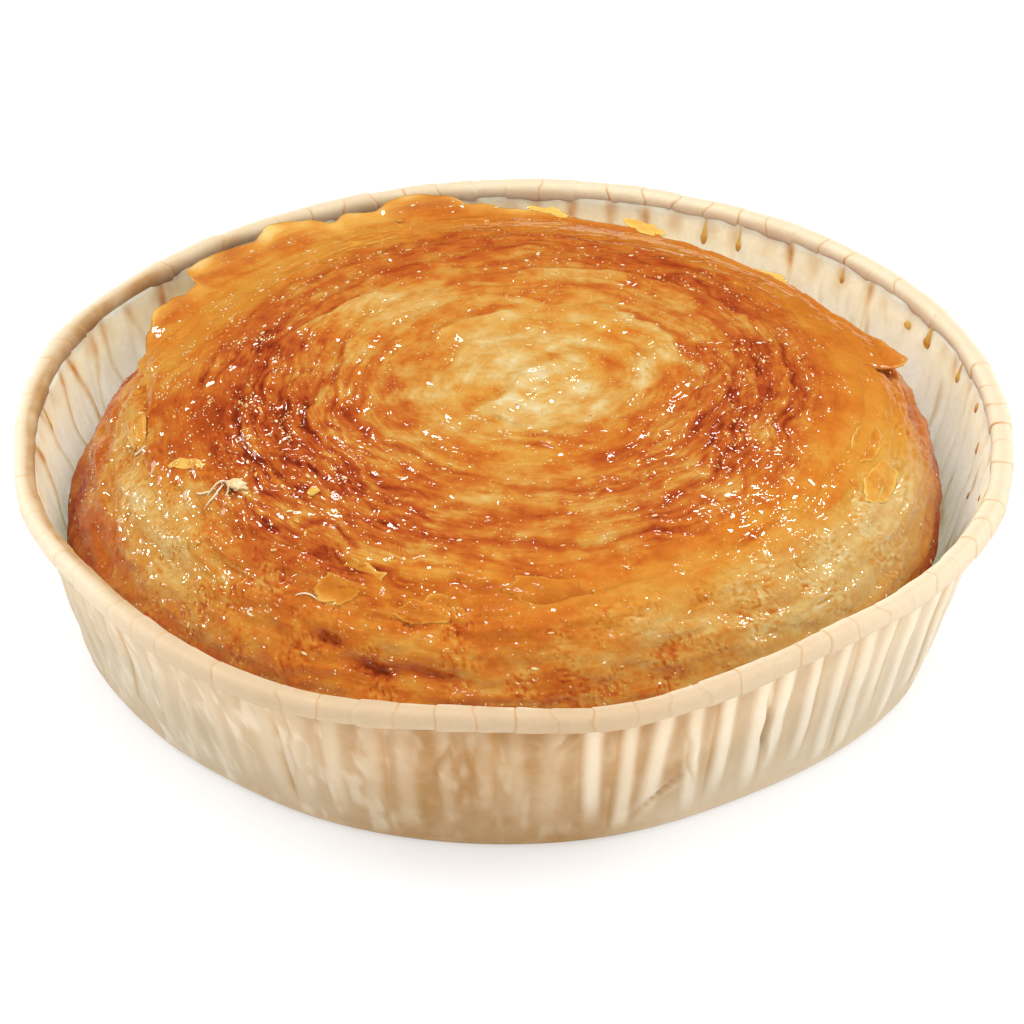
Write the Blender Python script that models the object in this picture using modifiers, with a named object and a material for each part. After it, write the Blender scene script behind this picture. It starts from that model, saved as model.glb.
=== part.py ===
"""Kouign amann: one coiled, caramelised butter cake in its pleated paper baking case.

Two solids are made: the paper case with its rolled rim, and the domed pastry that stands in it.
Units are metres, +Z is up, and the origin is the centre of the case's flat underside.
Run with: blender --background --python part.py
"""

import math

import bpy

# Driving dimensions of the paper case
RIM_OUTER_RADIUS = 0.0560
ROLL_RADIUS = 0.00135
CASE_HEIGHT = 0.0236
BASE_RADIUS = 0.0472
PAPER = 0.0005
FLOOR_THICKNESS = 0.0006
CORNER = 0.0010
WALL_BULGE = 0.0006
ROLL_OVERHANG = 0.0022
PLEATS = 84
PLEAT_DEPTH = 0.0008
ROLL_POINTS = 7
ROLL_ARC = (200.0, -65.0)
WALL_TOP_HEIGHT = 0.0205

# How the thin rim is pushed out of round: bearing in degrees, width in degrees, radial push
RIM_BULGES = (
    (117.0, 14.0, -0.0005),
    (155.0, 10.0, 0.0006),
    (183.0, 9.0, -0.0004),
    (211.0, 12.0, -0.0008),
    (245.0, 14.0, 0.0015),
    (280.0, 9.0, 0.0013),
    (309.0, 14.0, -0.0017),
    (343.0, 8.0, 0.0004),
)

# The same for the foot of its wall, which stands a little out of round on its own
FOOT_BULGES = (
    (190.0, 13.0, 0.0013),
    (228.0, 12.0, -0.0005),
    (303.0, 16.0, -0.0010),
    (335.0, 10.0, 0.0005),
)

# Driving dimensions of the pastry; heights are above its own underside, and its waves are each
# a count round the outline, a phase and a size as a share of the radius
PASTRY_CENTRE = (-0.0009, 0.0003)
PASTRY_RADIUS = 0.0487
FOOT_RADIUS = 0.0450
FOOT_BEVEL = 0.0012
WAIST_HEIGHT = 0.0115
CROWN_HEIGHT = 0.0297
CROWN_SHIFT = (0.0024, 0.0020)
SHOULDER_POWER = 4.0
DOME_POWER = 0.52
SIDE_SHARES = (0.66, 0.33)
WAVES = ((2.0, 1.22, 0.008), (3.0, 4.19, 0.003))
WAVES_FROM = 0.6

# The rolled dough's coil, whose turns show as a shallow spiral groove in the flat of the top
COIL_CENTRE = (0.0035, -0.0019)
COIL_PITCH = 0.0044
COIL_DEPTH = 0.0007
COIL_START = 0.006
COIL_END = 0.043
COIL_RISES = (0.3, 0.8)
RING_SPACING = 0.00145
RINGED_RADIUS = 0.0455
EDGE_SHARES = (0.955, 0.98, 0.994)

# The pastry keeps this gap to the case floor that it stands on
CLEARANCE = 0.0003
PASTRY_STEPS = 64
AXIS_MERGE = 0.00001


def bell(offset_degrees, width_degrees):
    """A smooth bump on a circle, 1 at its middle and fading over its width."""
    wrapped = (offset_degrees + 180.0) % 360.0 - 180.0
    return math.exp(-((wrapped / width_degrees) ** 2))


def smoothstep(low, high, value):
    """A share that eases from 0 at low to 1 at high."""
    share = min(1.0, max(0.0, (value - low) / (high - low)))
    return share * share * (3.0 - 2.0 * share)


def make_material(name, colour, roughness):
    """A plain non-metal finish."""
    material = bpy.data.materials.new(name)
    material.use_nodes = True
    shader = material.node_tree.nodes["Principled BSDF"]
    shader.inputs["Base Color"].default_value = (*colour, 1.0)
    shader.inputs["Roughness"].default_value = roughness
    shader.inputs["Metallic"].default_value = 0.0
    return material


def turned(name, profile, steps, collection):
    """A closed solid turned from a profile of (radius, height) points with both ends on the axis."""
    outline = bpy.data.meshes.new(name + "_profile")
    points = [(radius, 0.0, height) for radius, height in profile]
    edges = [(i, i + 1) for i in range(len(points) - 1)]
    outline.from_pydata(points, edges, [])
    lathe = bpy.data.objects.new(name + "_lathe", outline)
    collection.objects.link(lathe)
    screw = lathe.modifiers.new("Turn", "SCREW")
    screw.axis = "Z"
    screw.angle = math.tau
    screw.steps = steps
    screw.render_steps = steps
    screw.use_merge_vertices = True
    screw.merge_threshold = AXIS_MERGE
    bpy.context.view_layer.update()
    graph = bpy.context.evaluated_depsgraph_get()
    mesh = bpy.data.meshes.new_from_object(lathe.evaluated_get(graph))
    bpy.data.objects.remove(lathe)
    mesh.name = name
    piece = bpy.data.objects.new(name, mesh)
    collection.objects.link(piece)
    return piece


def roll_points():
    """The rolled rim's section, from its inner side over its top to its outer underside."""
    centre_radius = RIM_OUTER_RADIUS - ROLL_RADIUS
    centre_height = CASE_HEIGHT - ROLL_RADIUS
    start, end = (math.radians(bearing) for bearing in ROLL_ARC)
    points = []
    for i in range(ROLL_POINTS):
        bearing = start + (end - start) * i / (ROLL_POINTS - 1)
        across = ROLL_RADIUS * math.cos(bearing)
        up = ROLL_RADIUS * math.sin(bearing)
        points.append((centre_radius + across, centre_height + up))
    return points


def case_profile():
    """The case's section, from the inside of its floor over the rolled rim to its underside."""
    wall_top = RIM_OUTER_RADIUS - ROLL_OVERHANG
    wall_middle = (BASE_RADIUS + wall_top) / 2.0 + WALL_BULGE
    inside = [
        (0.0, FLOOR_THICKNESS),
        (BASE_RADIUS - PAPER - CORNER, FLOOR_THICKNESS),
        (BASE_RADIUS - PAPER, FLOOR_THICKNESS + CORNER),
        (wall_middle - PAPER, CASE_HEIGHT / 2.0),
    ]
    outside = [
        (wall_top, WALL_TOP_HEIGHT),
        (wall_middle, CASE_HEIGHT / 2.0),
        (BASE_RADIUS, CORNER),
        (BASE_RADIUS - CORNER, 0.0),
        (0.0, 0.0),
    ]
    return inside + roll_points() + outside


def pleat_share(height):
    """How deep the pleats are at a height: none at the floor, full up the wall, none in the roll."""
    below_roll = CASE_HEIGHT - 2.0 * ROLL_RADIUS
    foot = smoothstep(0.5 * CORNER, 3.0 * CORNER, height)
    return foot * (1.0 - smoothstep(below_roll - CORNER, below_roll + CORNER, height))


def push_at(bearing_degrees, bulges):
    """How far a list of bulges pushes the wall out of round at a bearing."""
    return sum(push * bell(bearing_degrees - middle, width) for middle, width, push in bulges)


def build_case(collection):
    """The paper case: a turned cup whose wall is pleated and whose rim is pushed out of round."""
    case = turned("paper_case", case_profile(), 2 * PLEATS, collection)
    for vertex in case.data.vertices:
        x, y, height = vertex.co
        radius = math.hypot(x, y)
        if radius < AXIS_MERGE:
            continue
        bearing = math.atan2(y, x)
        fold = 0.5 * PLEAT_DEPTH * math.cos(PLEATS * bearing) * pleat_share(height)
        rim_push = push_at(math.degrees(bearing), RIM_BULGES)
        foot_push = push_at(math.degrees(bearing), FOOT_BULGES) * smoothstep(0.0, BASE_RADIUS, radius)
        share = height / CASE_HEIGHT
        scale = (radius + fold + foot_push + (rim_push - foot_push) * share) / radius
        vertex.co = (x * scale, y * scale, height)
    case.data.materials.append(make_material("baking_paper", (0.86, 0.72, 0.52), 0.75))
    case.data.shade_flat()
    return case


def dome_height(radius):
    """Height of the pastry's top before its coil is pressed in."""
    share = min(1.0, radius / PASTRY_RADIUS)
    rise = (1.0 - share**SHOULDER_POWER) ** DOME_POWER
    return WAIST_HEIGHT + (CROWN_HEIGHT - WAIST_HEIGHT) * rise


def pastry_profile():
    """The pastry's section, from its crown over the shoulder and down its leaning side."""
    rings = round(RINGED_RADIUS / RING_SPACING)
    radii = [RINGED_RADIUS * i / rings for i in range(rings + 1)]
    radii += [share * PASTRY_RADIUS for share in EDGE_SHARES]
    top = [(radius, dome_height(radius)) for radius in radii]
    lean = (PASTRY_RADIUS - FOOT_RADIUS) / WAIST_HEIGHT
    heights = [WAIST_HEIGHT] + [share * WAIST_HEIGHT for share in SIDE_SHARES] + [FOOT_BEVEL]
    side = [(FOOT_RADIUS + lean * height, height) for height in heights]
    return top + side + [(FOOT_RADIUS - FOOT_BEVEL, 0.0), (0.0, 0.0)]


def coil_relief(x, y):
    """Depth of the groove between the turns of the rolled dough at a point of the top."""
    across, along = x - COIL_CENTRE[0], y - COIL_CENTRE[1]
    from_coil = math.hypot(across, along)
    turn = from_coil / COIL_PITCH - math.atan2(along, across) / math.tau
    groove = 0.5 - 0.5 * math.cos(math.tau * turn)
    inner_fade = smoothstep(COIL_START, 2.0 * COIL_START, from_coil)
    outer_fade = 1.0 - smoothstep(COIL_END - COIL_PITCH, COIL_END, math.hypot(x, y))
    return COIL_DEPTH * groove * inner_fade * outer_fade


def waviness(bearing):
    """How far the pastry's outline stands out of round, as a share of its radius."""
    return sum(size * math.sin(count * bearing + phase) for count, phase, size in WAVES)


def build_pastry(collection):
    """The pastry: a turned dome, made uneven, with the coil pressed into its top."""
    pastry = turned("pastry", pastry_profile(), PASTRY_STEPS, collection)
    for vertex in pastry.data.vertices:
        x, y, height = vertex.co
        outer_share = smoothstep(WAVES_FROM * PASTRY_RADIUS, PASTRY_RADIUS, math.hypot(x, y))
        scale = 1.0 + waviness(math.atan2(y, x)) * outer_share
        rise = max(0.0, height - WAIST_HEIGHT) / (CROWN_HEIGHT - WAIST_HEIGHT)
        placed_x = x * scale + rise * CROWN_SHIFT[0]
        placed_y = y * scale + rise * CROWN_SHIFT[1]
        sunk = smoothstep(*COIL_RISES, rise) * coil_relief(placed_x, placed_y)
        vertex.co = (placed_x, placed_y, height - sunk)
    pastry.location = (*PASTRY_CENTRE, FLOOR_THICKNESS + CLEARANCE)
    pastry.data.materials.append(make_material("caramelised_pastry", (0.70, 0.33, 0.07), 0.3))
    pastry.data.shade_smooth()
    return pastry


def main():
    """Clears the scene and builds the case and the pastry."""
    for old in list(bpy.data.objects):
        bpy.data.objects.remove(old)
    collection = bpy.data.collections.new("kouign_amann")
    bpy.context.scene.collection.children.link(collection)
    build_case(collection)
    build_pastry(collection)


main()
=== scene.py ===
"""Looks of a kouign amann: a coiled, caramelised butter cake in its pleated paper baking case.

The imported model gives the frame: the paper case and the pastry's body. This script lays finely
modelled skins over both, adds the caramel's flakes, drips and grains, dresses every piece in a
procedural finish, and sets the studio and the view.

Sizes are in millimetres in the frame's axes, and become metres where a mesh, a light or the camera
is made. Bearings are in degrees, from +X towards +Y, and finish colours are plain display values.
"""

import itertools
import logging
import math
from dataclasses import dataclass, field
from enum import Enum
from typing import TypeVar

import bmesh
import bpy
import numpy as np
from mathutils import Matrix, Vector


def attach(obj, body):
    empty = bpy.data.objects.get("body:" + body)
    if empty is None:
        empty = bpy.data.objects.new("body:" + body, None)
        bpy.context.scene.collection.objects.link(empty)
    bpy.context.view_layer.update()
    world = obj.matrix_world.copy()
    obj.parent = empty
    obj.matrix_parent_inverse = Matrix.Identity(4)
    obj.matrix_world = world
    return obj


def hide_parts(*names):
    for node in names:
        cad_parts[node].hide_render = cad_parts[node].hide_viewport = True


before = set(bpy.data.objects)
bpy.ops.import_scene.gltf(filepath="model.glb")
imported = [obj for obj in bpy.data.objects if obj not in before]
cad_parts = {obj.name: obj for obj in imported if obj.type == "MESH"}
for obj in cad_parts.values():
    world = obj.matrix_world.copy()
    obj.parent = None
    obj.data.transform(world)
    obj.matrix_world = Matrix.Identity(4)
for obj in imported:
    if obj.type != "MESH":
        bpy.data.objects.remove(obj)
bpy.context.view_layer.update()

Array = np.ndarray
Knots = tuple[tuple[float, float], ...]
Colour = tuple[float, float, float]
Stops = tuple[tuple[float, Colour], ...]
Material = bpy.types.Material
Piece = bpy.types.Object
Socket = bpy.types.NodeSocket
Made = TypeVar("Made")

MM = 0.001
FULL_TURN = 360.0
BODY = "root"
log = logging.getLogger("kouign_amann")


# ---------------------------------------------------------------- small tools


def smoothstep(low: float, high: float, value: Array) -> Array:
    """A share that eases from 0 at low to 1 at high."""
    share = np.clip((value - low) / (high - low), 0.0, 1.0)
    return share * share * (3.0 - 2.0 * share)


def bell(offset: Array, width: float | Array) -> Array:
    """A smooth bump, 1 where the offset is nothing and fading over its width."""
    return np.exp(-((offset / width) ** 2))


def turned_from(bearing: Array, middle: float) -> Array:
    """The signed angle in degrees from a middle bearing to each bearing."""
    return (bearing - middle + FULL_TURN / 2.0) % FULL_TURN - FULL_TURN / 2.0


def round_steps(count: int, whole: float) -> Array:
    """Even steps round a whole turn, in degrees or radians as the turn is."""
    return np.arange(count) * whole / count


def circled(radius: Array | float, angle: Array, height: Array | float) -> Array:
    """Points at distances from the axis, angles in radians and heights."""
    x, y = radius * np.cos(angle), radius * np.sin(angle)
    return np.stack([x, y, np.broadcast_to(height, x.shape)], 1)


def spun(x: Array, y: Array, degrees: float) -> tuple[Array, Array]:
    """Turns plan coordinates about their origin."""
    turn = math.radians(degrees)
    return x * math.cos(turn) - y * math.sin(turn), x * math.sin(turn) + y * math.cos(turn)


def along_section(radii: Array, heights: Array) -> Array:
    """The distance run along a section, from its first point to each point."""
    return np.concatenate([[0.0], np.cumsum(np.hypot(np.diff(radii), np.diff(heights)))])


def many(kind: type[Made], *rows: tuple) -> tuple[Made, ...]:
    """Makes one thing of a kind from each row of its fields."""
    return tuple(kind(*row) for row in rows)


def round_curve(knots: Knots, bearing: Array) -> Array:
    """Reads a smooth closed curve given by knots of (bearing, value).

    Args:
        knots: Bearings in rising order from 0 up to 360, each with its value.
        bearing: Bearings to read the curve at.

    Returns:
        The curve's value at each bearing.
    """
    at = np.array([knot[0] for knot in knots])
    value = np.array([knot[1] for knot in knots])
    wanted = bearing % FULL_TURN
    after = np.searchsorted(at, wanted, side="right")
    low, high = (after - 1) % len(at), after % len(at)
    span = (at[high] - at[low]) % FULL_TURN
    share = ((wanted - at[low]) % FULL_TURN) / np.where(span == 0.0, FULL_TURN, span)
    return value[low] + (value[high] - value[low]) * smoothstep(0.0, 1.0, share)


def linear(colour: Colour) -> tuple[float, float, float, float]:
    """Turns a display colour into a linear one.

    Args:
        colour: A display colour of 0 to 255.

    Returns:
        The linear colour and alpha that shaders take.
    """
    shares = [part / 255.0 for part in colour]
    lit = [s / 12.92 if s <= 0.04045 else ((s + 0.055) / 1.055) ** 2.4 for s in shares]
    return (*lit, 1.0)


class SeededNoise:
    """Smooth 3-D gradient noise and cell noise that come out the same on every run."""

    CELLS = 256
    SCALE = 1.6
    OCTAVE_SHIFT = 17.3

    def __init__(self, seed: int) -> None:
        """Draws the tables for one seed.

        Args:
            seed: The seed of all the tables.
        """
        draw = np.random.default_rng(seed)
        self.order = np.tile(draw.permutation(self.CELLS), 3)
        slopes = draw.normal(size=(self.CELLS, 3))
        self.slopes = slopes / np.linalg.norm(slopes, axis=1, keepdims=True)
        self.spots = draw.random((self.CELLS, 3))

    def _hashed(self, cell: Array) -> Array:
        """A table index for each whole-numbered cell."""
        first, second, third = (cell % self.CELLS).T
        return self.order[self.order[self.order[first] + second] + third]

    def at(self, points: Array) -> Array:
        """Reads gradient noise.

        Args:
            points: An (n, 3) array of points.

        Returns:
            The noise at each point, about -1 to 1.
        """
        cell = np.floor(points).astype(int)
        inside = points - cell
        ease = inside**3 * (inside * (inside * 6.0 - 15.0) + 10.0)
        total = np.zeros(len(points))
        for corner in itertools.product((0, 1), repeat=3):
            offset = np.array(corner)
            slope = self.slopes[self._hashed(cell + offset)]
            weight = np.prod(np.where(offset == 1, ease, 1.0 - ease), axis=1)
            total += weight * np.sum(slope * (inside - offset), axis=1)
        return total * self.SCALE

    def layered(self, points: Array, octaves: int = 3, gain: float = 0.5) -> Array:
        """Sums octaves of noise, each twice as fine as the one before.

        Args:
            points: An (n, 3) array of points.
            octaves: How many layers are summed.
            gain: How much weaker each layer is than the one before.

        Returns:
            The summed noise at each point.
        """
        total = np.zeros(len(points))
        size = 1.0
        for octave in range(octaves):
            total += size * self.at(points * 2.0**octave + self.OCTAVE_SHIFT * octave)
            size *= gain
        return total

    def nearest_spot(self, points: Array) -> tuple[Array, Array]:
        """Finds the nearest of the scattered spots, one in each unit cell.

        Args:
            points: An (n, 3) array of points.

        Returns:
            The distance to the nearest spot, and a random share that belongs to that spot.
        """
        cell = np.floor(points).astype(int)
        best = np.full(len(points), 9.0)
        own = np.zeros(len(points))
        for offset in itertools.product((-1, 0, 1), repeat=3):
            beside = cell + np.array(offset)
            index = self._hashed(beside)
            away = np.linalg.norm(beside + self.spots[index] - points, axis=1)
            nearer = away < best
            best = np.where(nearer, away, best)
            own = np.where(nearer, self.spots[index, 0], own)
        return best, own


@dataclass(frozen=True)
class Weave:
    """Noise drawn out along the coil's turns: its offset, length, thickness and octaves."""

    offset: float
    length: float
    thickness: float
    octaves: int = 1

    def laid(self, plan: Array, depth: Array) -> Array:
        """Coordinates to read the noise at, from points of the plan and depths across the turns."""
        stretched = (plan + self.offset) / self.length
        return np.column_stack([stretched[:, :2], depth / self.thickness])

    def read(self, noise: SeededNoise, plan: Array, depth: Array) -> Array:
        """Reads the noise at points of the plan and their depths across the turns."""
        return noise.layered(self.laid(plan, depth), self.octaves)


# ---------------------------------------------------------------- meshes


@dataclass
class RingSkin:
    """A closed skin sewn from rings of points.

    Each ring has as many points as the ring before it, or twice or half as many. The first and the
    last ring are closed with a fan, or sewn to each other in a looped skin. Rings that run outwards,
    then down, face outwards.
    """

    looped: bool = False
    rings: list[Array] = field(default_factory=list)
    values: dict[str, list[Array]] = field(default_factory=dict)

    def add(self, points: Array, **values: Array) -> None:
        """Adds a ring.

        Args:
            points: The ring's points in order of bearing.
            **values: Named values, each for the whole ring or for each point.
        """
        self.rings.append(points)
        for name, value in values.items():
            self.values.setdefault(name, []).append(np.broadcast_to(value, len(points)))

    def _between(self, first: int, count: int, other: int, other_count: int) -> list[tuple[int, ...]]:
        """Sews a ring to the next one out or down.

        Args:
            first: The ring's first point.
            count: The ring's count of points.
            other: The next ring's first point.
            other_count: The next ring's count of points.

        Returns:
            The faces.
        """
        if count == other_count:
            here = np.arange(count)
            after = (here + 1) % count
            sides = [first + here, other + here, other + after, first + after]
            return [tuple(face) for face in np.stack(sides, 1).tolist()]
        few = min(count, other_count)
        here = np.arange(few)
        after = (here + 1) % few
        ends = (2 * here, 2 * here + 1, (2 * here + 2) % (2 * few))
        if count < other_count:
            low, mid, high = (other + end for end in ends)
            quads = [first + here, low, mid, first + after]
            tris = [mid, high, first + after]
        else:
            low, mid, high = (first + end for end in ends)
            quads = [low, other + here, other + after, mid]
            tris = [mid, other + after, high]
        faces = [tuple(face) for face in np.stack(quads, 1).tolist()]
        return faces + [tuple(face) for face in np.stack(tris, 1).tolist()]

    def sewn(self) -> tuple[Array, list, dict[str, Array]]:
        """Sews the rings.

        Returns:
            The points in millimetres, the faces and the named values.
        """
        counts = [len(ring) for ring in self.rings]
        starts = np.concatenate([[0], np.cumsum(counts)]).tolist()
        faces: list[tuple[int, ...]] = []
        for k in range(len(counts) - 1):
            faces += self._between(starts[k], counts[k], starts[k + 1], counts[k + 1])
        if self.looped:
            faces += self._between(starts[-2], counts[-1], 0, counts[0])
            values = {key: np.concatenate(parts) for key, parts in self.values.items()}
            return np.concatenate(self.rings), faces, values
        top, bottom = starts[-1], starts[-1] + 1
        first, last = counts[0], counts[-1]
        faces += [(top, j, (j + 1) % first) for j in range(first)]
        base = starts[-2]
        faces += [(bottom, base + (j + 1) % last, base + j) for j in range(last)]
        caps = [self.rings[0].mean(0, keepdims=True), self.rings[-1].mean(0, keepdims=True)]
        values = {key: np.concatenate(parts + [parts[0][:1], parts[-1][:1]])
                  for key, parts in self.values.items()}
        return np.concatenate(self.rings + caps), faces, values

    def mesh(self, name: str) -> bpy.types.Mesh:
        """Sews the rings into a mesh, in metres, with its values as point attributes."""
        return make_mesh(name, *self.sewn())


def joined_mesh(name: str, skins: list[RingSkin]) -> bpy.types.Mesh:
    """Makes one mesh of several skins.

    Args:
        name: The mesh's name.
        skins: Closed skins that carry the same named values.

    Returns:
        The new mesh.
    """
    parts = [skin.sewn() for skin in skins]
    starts = np.cumsum([0] + [len(points) for points, _, _ in parts]).tolist()
    faces = [tuple(corner + start for corner in face)
             for start, (_, own, _) in zip(starts, parts) for face in own]
    values = {key: np.concatenate([part[2][key] for part in parts]) for key in parts[0][2]}
    return make_mesh(name, np.concatenate([part[0] for part in parts]), faces, values)


def make_mesh(name: str, points: Array, faces: list, values: dict[str, Array]) -> bpy.types.Mesh:
    """Makes a smooth-shaded mesh.

    Args:
        name: The mesh's name.
        points: An (n, 3) array of points in millimetres.
        faces: Faces as tuples of point indices.
        values: Named numbers for each point, kept as attributes for the finish to read.

    Returns:
        The new mesh, in metres.
    """
    mesh = bpy.data.meshes.new(name)
    mesh.from_pydata((points * MM).tolist(), [], faces)
    for key, value in values.items():
        attribute = mesh.attributes.new(key, "FLOAT", "POINT")
        attribute.data.foreach_set("value", np.asarray(value, np.float32))
    mesh.shade_smooth()
    return mesh


def make_piece(mesh: bpy.types.Mesh, material: Material, replaces: str = "") -> Piece:
    """Puts a mesh in the scene as a piece of the object.

    Args:
        mesh: The piece's mesh, in place in the frame. The piece takes its name.
        material: The piece's finish.
        replaces: The CAD node that the piece stands for, if it stands for one.

    Returns:
        The new piece, riding on the body.
    """
    piece = bpy.data.objects.new(mesh.name, mesh)
    bpy.context.scene.collection.objects.link(piece)
    mesh.materials.append(material)
    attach(piece, BODY)
    if replaces:
        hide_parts(replaces)
    return piece


# ---------------------------------------------------------------- finishes


NOISE_SPAN = (0.3, 0.7)


class Gloss(Enum):
    """How a surface shines: its roughness, its clear coat's weight and the coat's roughness."""

    PAPER = (0.62, 0.0, 0.3)
    CRUMB = (0.55, 0.15, 0.3)
    BUTTERED = (0.42, 0.8, 0.06)
    GLAZED = (0.36, 0.9, 0.04)
    SUGAR = (0.2, 1.0, 0.04)


@dataclass(frozen=True)
class Grain:
    """Cloudy noise in a finish: its scale in turns to the metre, its detail and its roughness."""

    scale: float
    detail: float = 3.0
    rough: float = 0.5


class NodeSheet:
    """A material under construction, with short calls for the nodes that the finishes share."""

    def __init__(self, name: str, gloss: Gloss) -> None:
        """Starts a material.

        Args:
            name: The material's name.
            gloss: How its shader shines.
        """
        self.material = bpy.data.materials.new(name)
        self.material.use_nodes = True
        self.tree = self.material.node_tree
        self.shader = self.tree.nodes["Principled BSDF"]
        roughness, coat, coat_roughness = gloss.value
        self.set("Roughness", roughness)
        self.set("Coat Weight", coat)
        self.set("Coat Roughness", coat_roughness)
        self.place = self.add("ShaderNodeTexCoord").outputs["Object"]

    def add(self, kind: str, **settings: object) -> bpy.types.Node:
        """Adds a node.

        Args:
            kind: The kind of node.
            **settings: The node's own settings.

        Returns:
            The node.
        """
        node = self.tree.nodes.new(kind)
        for key, value in settings.items():
            setattr(node, key, value)
        return node

    def join(self, source: object, target: Socket) -> None:
        """Links a socket into another, or sets the other to a plain value.

        Args:
            source: A socket or a plain value.
            target: The socket that takes it.
        """
        if isinstance(source, Socket):
            self.tree.links.new(source, target)
        else:
            target.default_value = source

    def set(self, socket: str, value: object) -> None:
        """Links or sets one of the shader's own sockets."""
        self.join(value, self.shader.inputs[socket])

    def value(self, name: str) -> Socket:
        """A number that the mesh carries at each point."""
        return self.add("ShaderNodeAttribute", attribute_name=name).outputs["Fac"]

    def sum(self, kind: str, first: object, second: object, clamp: bool = False) -> Socket:
        """Works out one sum of two numbers.

        Args:
            kind: The sum, such as ADD or MULTIPLY.
            first: The first number.
            second: The second number.
            clamp: Whether the result is held from 0 to 1.

        Returns:
            The result.
        """
        node = self.add("ShaderNodeMath", operation=kind, use_clamp=clamp)
        self.join(first, node.inputs[0])
        self.join(second, node.inputs[1])
        return node.outputs[0]

    def plus(self, first: object, second: object, clamp: bool = False) -> Socket:
        """Adds two numbers."""
        return self.sum("ADD", first, second, clamp)

    def times(self, first: object, second: object, clamp: bool = False) -> Socket:
        """Multiplies two numbers."""
        return self.sum("MULTIPLY", first, second, clamp)

    def spread(self, source: object, low: float, high: float, to_low: float, to_high: float) -> Socket:
        """Maps a number from one range to another.

        Args:
            source: The number.
            low: The range's low end.
            high: The range's high end.
            to_low: What the low end becomes.
            to_high: What the high end becomes.

        Returns:
            The mapped number, held to the new range.
        """
        node = self.add("ShaderNodeMapRange")
        for socket, part in zip(node.inputs, (source, low, high, to_low, to_high)):
            self.join(part, socket)
        return node.outputs[0]

    def swing(self, source: Socket, reach: float) -> Socket:
        """Spreads cloudy noise to either side of nothing, as far as the reach."""
        return self.spread(source, *NOISE_SPAN, -reach, reach)

    def cloudy(self, grain: Grain, vector: Socket | None = None) -> Socket:
        """Cloudy noise around a half.

        Args:
            grain: The noise's scale and detail.
            vector: Where to read it, if not at the point's own place.

        Returns:
            The noise.
        """
        node = self.add("ShaderNodeTexNoise")
        self.join(vector or self.place, node.inputs["Vector"])
        self.join(grain.scale, node.inputs["Scale"])
        self.join(grain.detail, node.inputs["Detail"])
        self.join(grain.rough, node.inputs["Roughness"])
        return node.outputs["Fac"]

    def specks(self, scale: float, size: float, cover: Grain) -> Socket:
        """Scatters fine specks over about half of the surface.

        Args:
            scale: Specks to the metre along a line.
            size: Each speck's radius as a share of their spacing.
            cover: The noise that says where there are specks at all.

        Returns:
            1 in a speck and 0 between them.
        """
        cell = self.add("ShaderNodeTexVoronoi")
        self.join(self.place, cell.inputs["Vector"])
        self.join(scale, cell.inputs["Scale"])
        spot = self.spread(cell.outputs["Distance"], 0.6 * size, size, 1.0, 0.0)
        return self.times(spot, self.spread(self.cloudy(cover), 0.48, 0.56, 0.0, 1.0))

    def mixed(self, share: object, first: object, second: object) -> Socket:
        """Mixes two colours.

        Args:
            share: How much of the second colour there is.
            first: A socket or a display colour.
            second: A socket or a display colour.

        Returns:
            The mixed colour.
        """
        node = self.add("ShaderNodeMix", data_type="RGBA")
        self.join(share, node.inputs["Factor"])
        for name, part in (("A", first), ("B", second)):
            socket = next(s for s in node.inputs if s.name == name and s.type == "RGBA")
            self.join(linear(part) if isinstance(part, tuple) else part, socket)
        return next(s for s in node.outputs if s.type == "RGBA")

    def ramp(self, share: object, stops: Stops) -> Socket:
        """Reads a colour from a run of colours.

        Args:
            share: Where to read the run.
            stops: Display colours at their places from 0 to 1.

        Returns:
            The colour.
        """
        node = self.add("ShaderNodeValToRGB")
        elements = node.color_ramp.elements
        while len(elements) < len(stops):
            elements.new(1.0)
        for element, (where, colour) in zip(elements, stops):
            element.position = where
            element.color = linear(colour)
        self.join(share, node.inputs["Fac"])
        return node.outputs["Color"]

    def _squared(self, part: Socket) -> Socket:
        """Squares a number."""
        return self.sum("POWER", self.sum("ABSOLUTE", part, 0.0), 2.0)

    def streaks(self, centre: tuple[float, float], length: float, thickness: float) -> Socket:
        """Works out a vector that stretches noise into arcs.

        Args:
            centre: The middle that the arcs run round, in millimetres.
            length: How long the noise becomes along the arcs, in millimetres.
            thickness: How thick it stays across them, in millimetres.

        Returns:
            The vector.
        """
        split = self.add("ShaderNodeSeparateXYZ")
        self.join(self.place, split.inputs[0])
        across = self.sum("SUBTRACT", split.outputs[0], centre[0] * MM)
        along = self.sum("SUBTRACT", split.outputs[1], centre[1] * MM)
        squares = self.plus(*(self._squared(part) for part in (across, along)))
        depth = self.sum("SUBTRACT", self.sum("SQRT", squares, 0.0), split.outputs[2])
        joined = self.add("ShaderNodeCombineXYZ")
        for part, size, socket in zip((across, along, depth), (length, length, thickness), joined.inputs):
            self.join(self.sum("DIVIDE", part, size * MM), socket)
        return joined.outputs[0]

    def soften(self, weight: float, reach: Colour) -> None:
        """Lets light into the surface, as far as the reach in metres for each colour."""
        for name, part in (("Weight", weight), ("Radius", reach), ("Scale", 1.0)):
            self.set(f"Subsurface {name}", part)

    def bump(self, height: object, distance: float, strength: float = 1.0, socket: str = "Normal") -> None:
        """Roughens the surface, or its coat.

        Args:
            height: The height, from 0 to 1.
            distance: The height that 1 stands for, in millimetres.
            strength: How much of it shows.
            socket: Which of the shader's normals it changes.
        """
        node = self.add("ShaderNodeBump")
        self.join(height, node.inputs["Height"])
        self.join(distance * MM, node.inputs["Distance"])
        self.join(strength, node.inputs["Strength"])
        self.set(socket, node.outputs[0])


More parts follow.
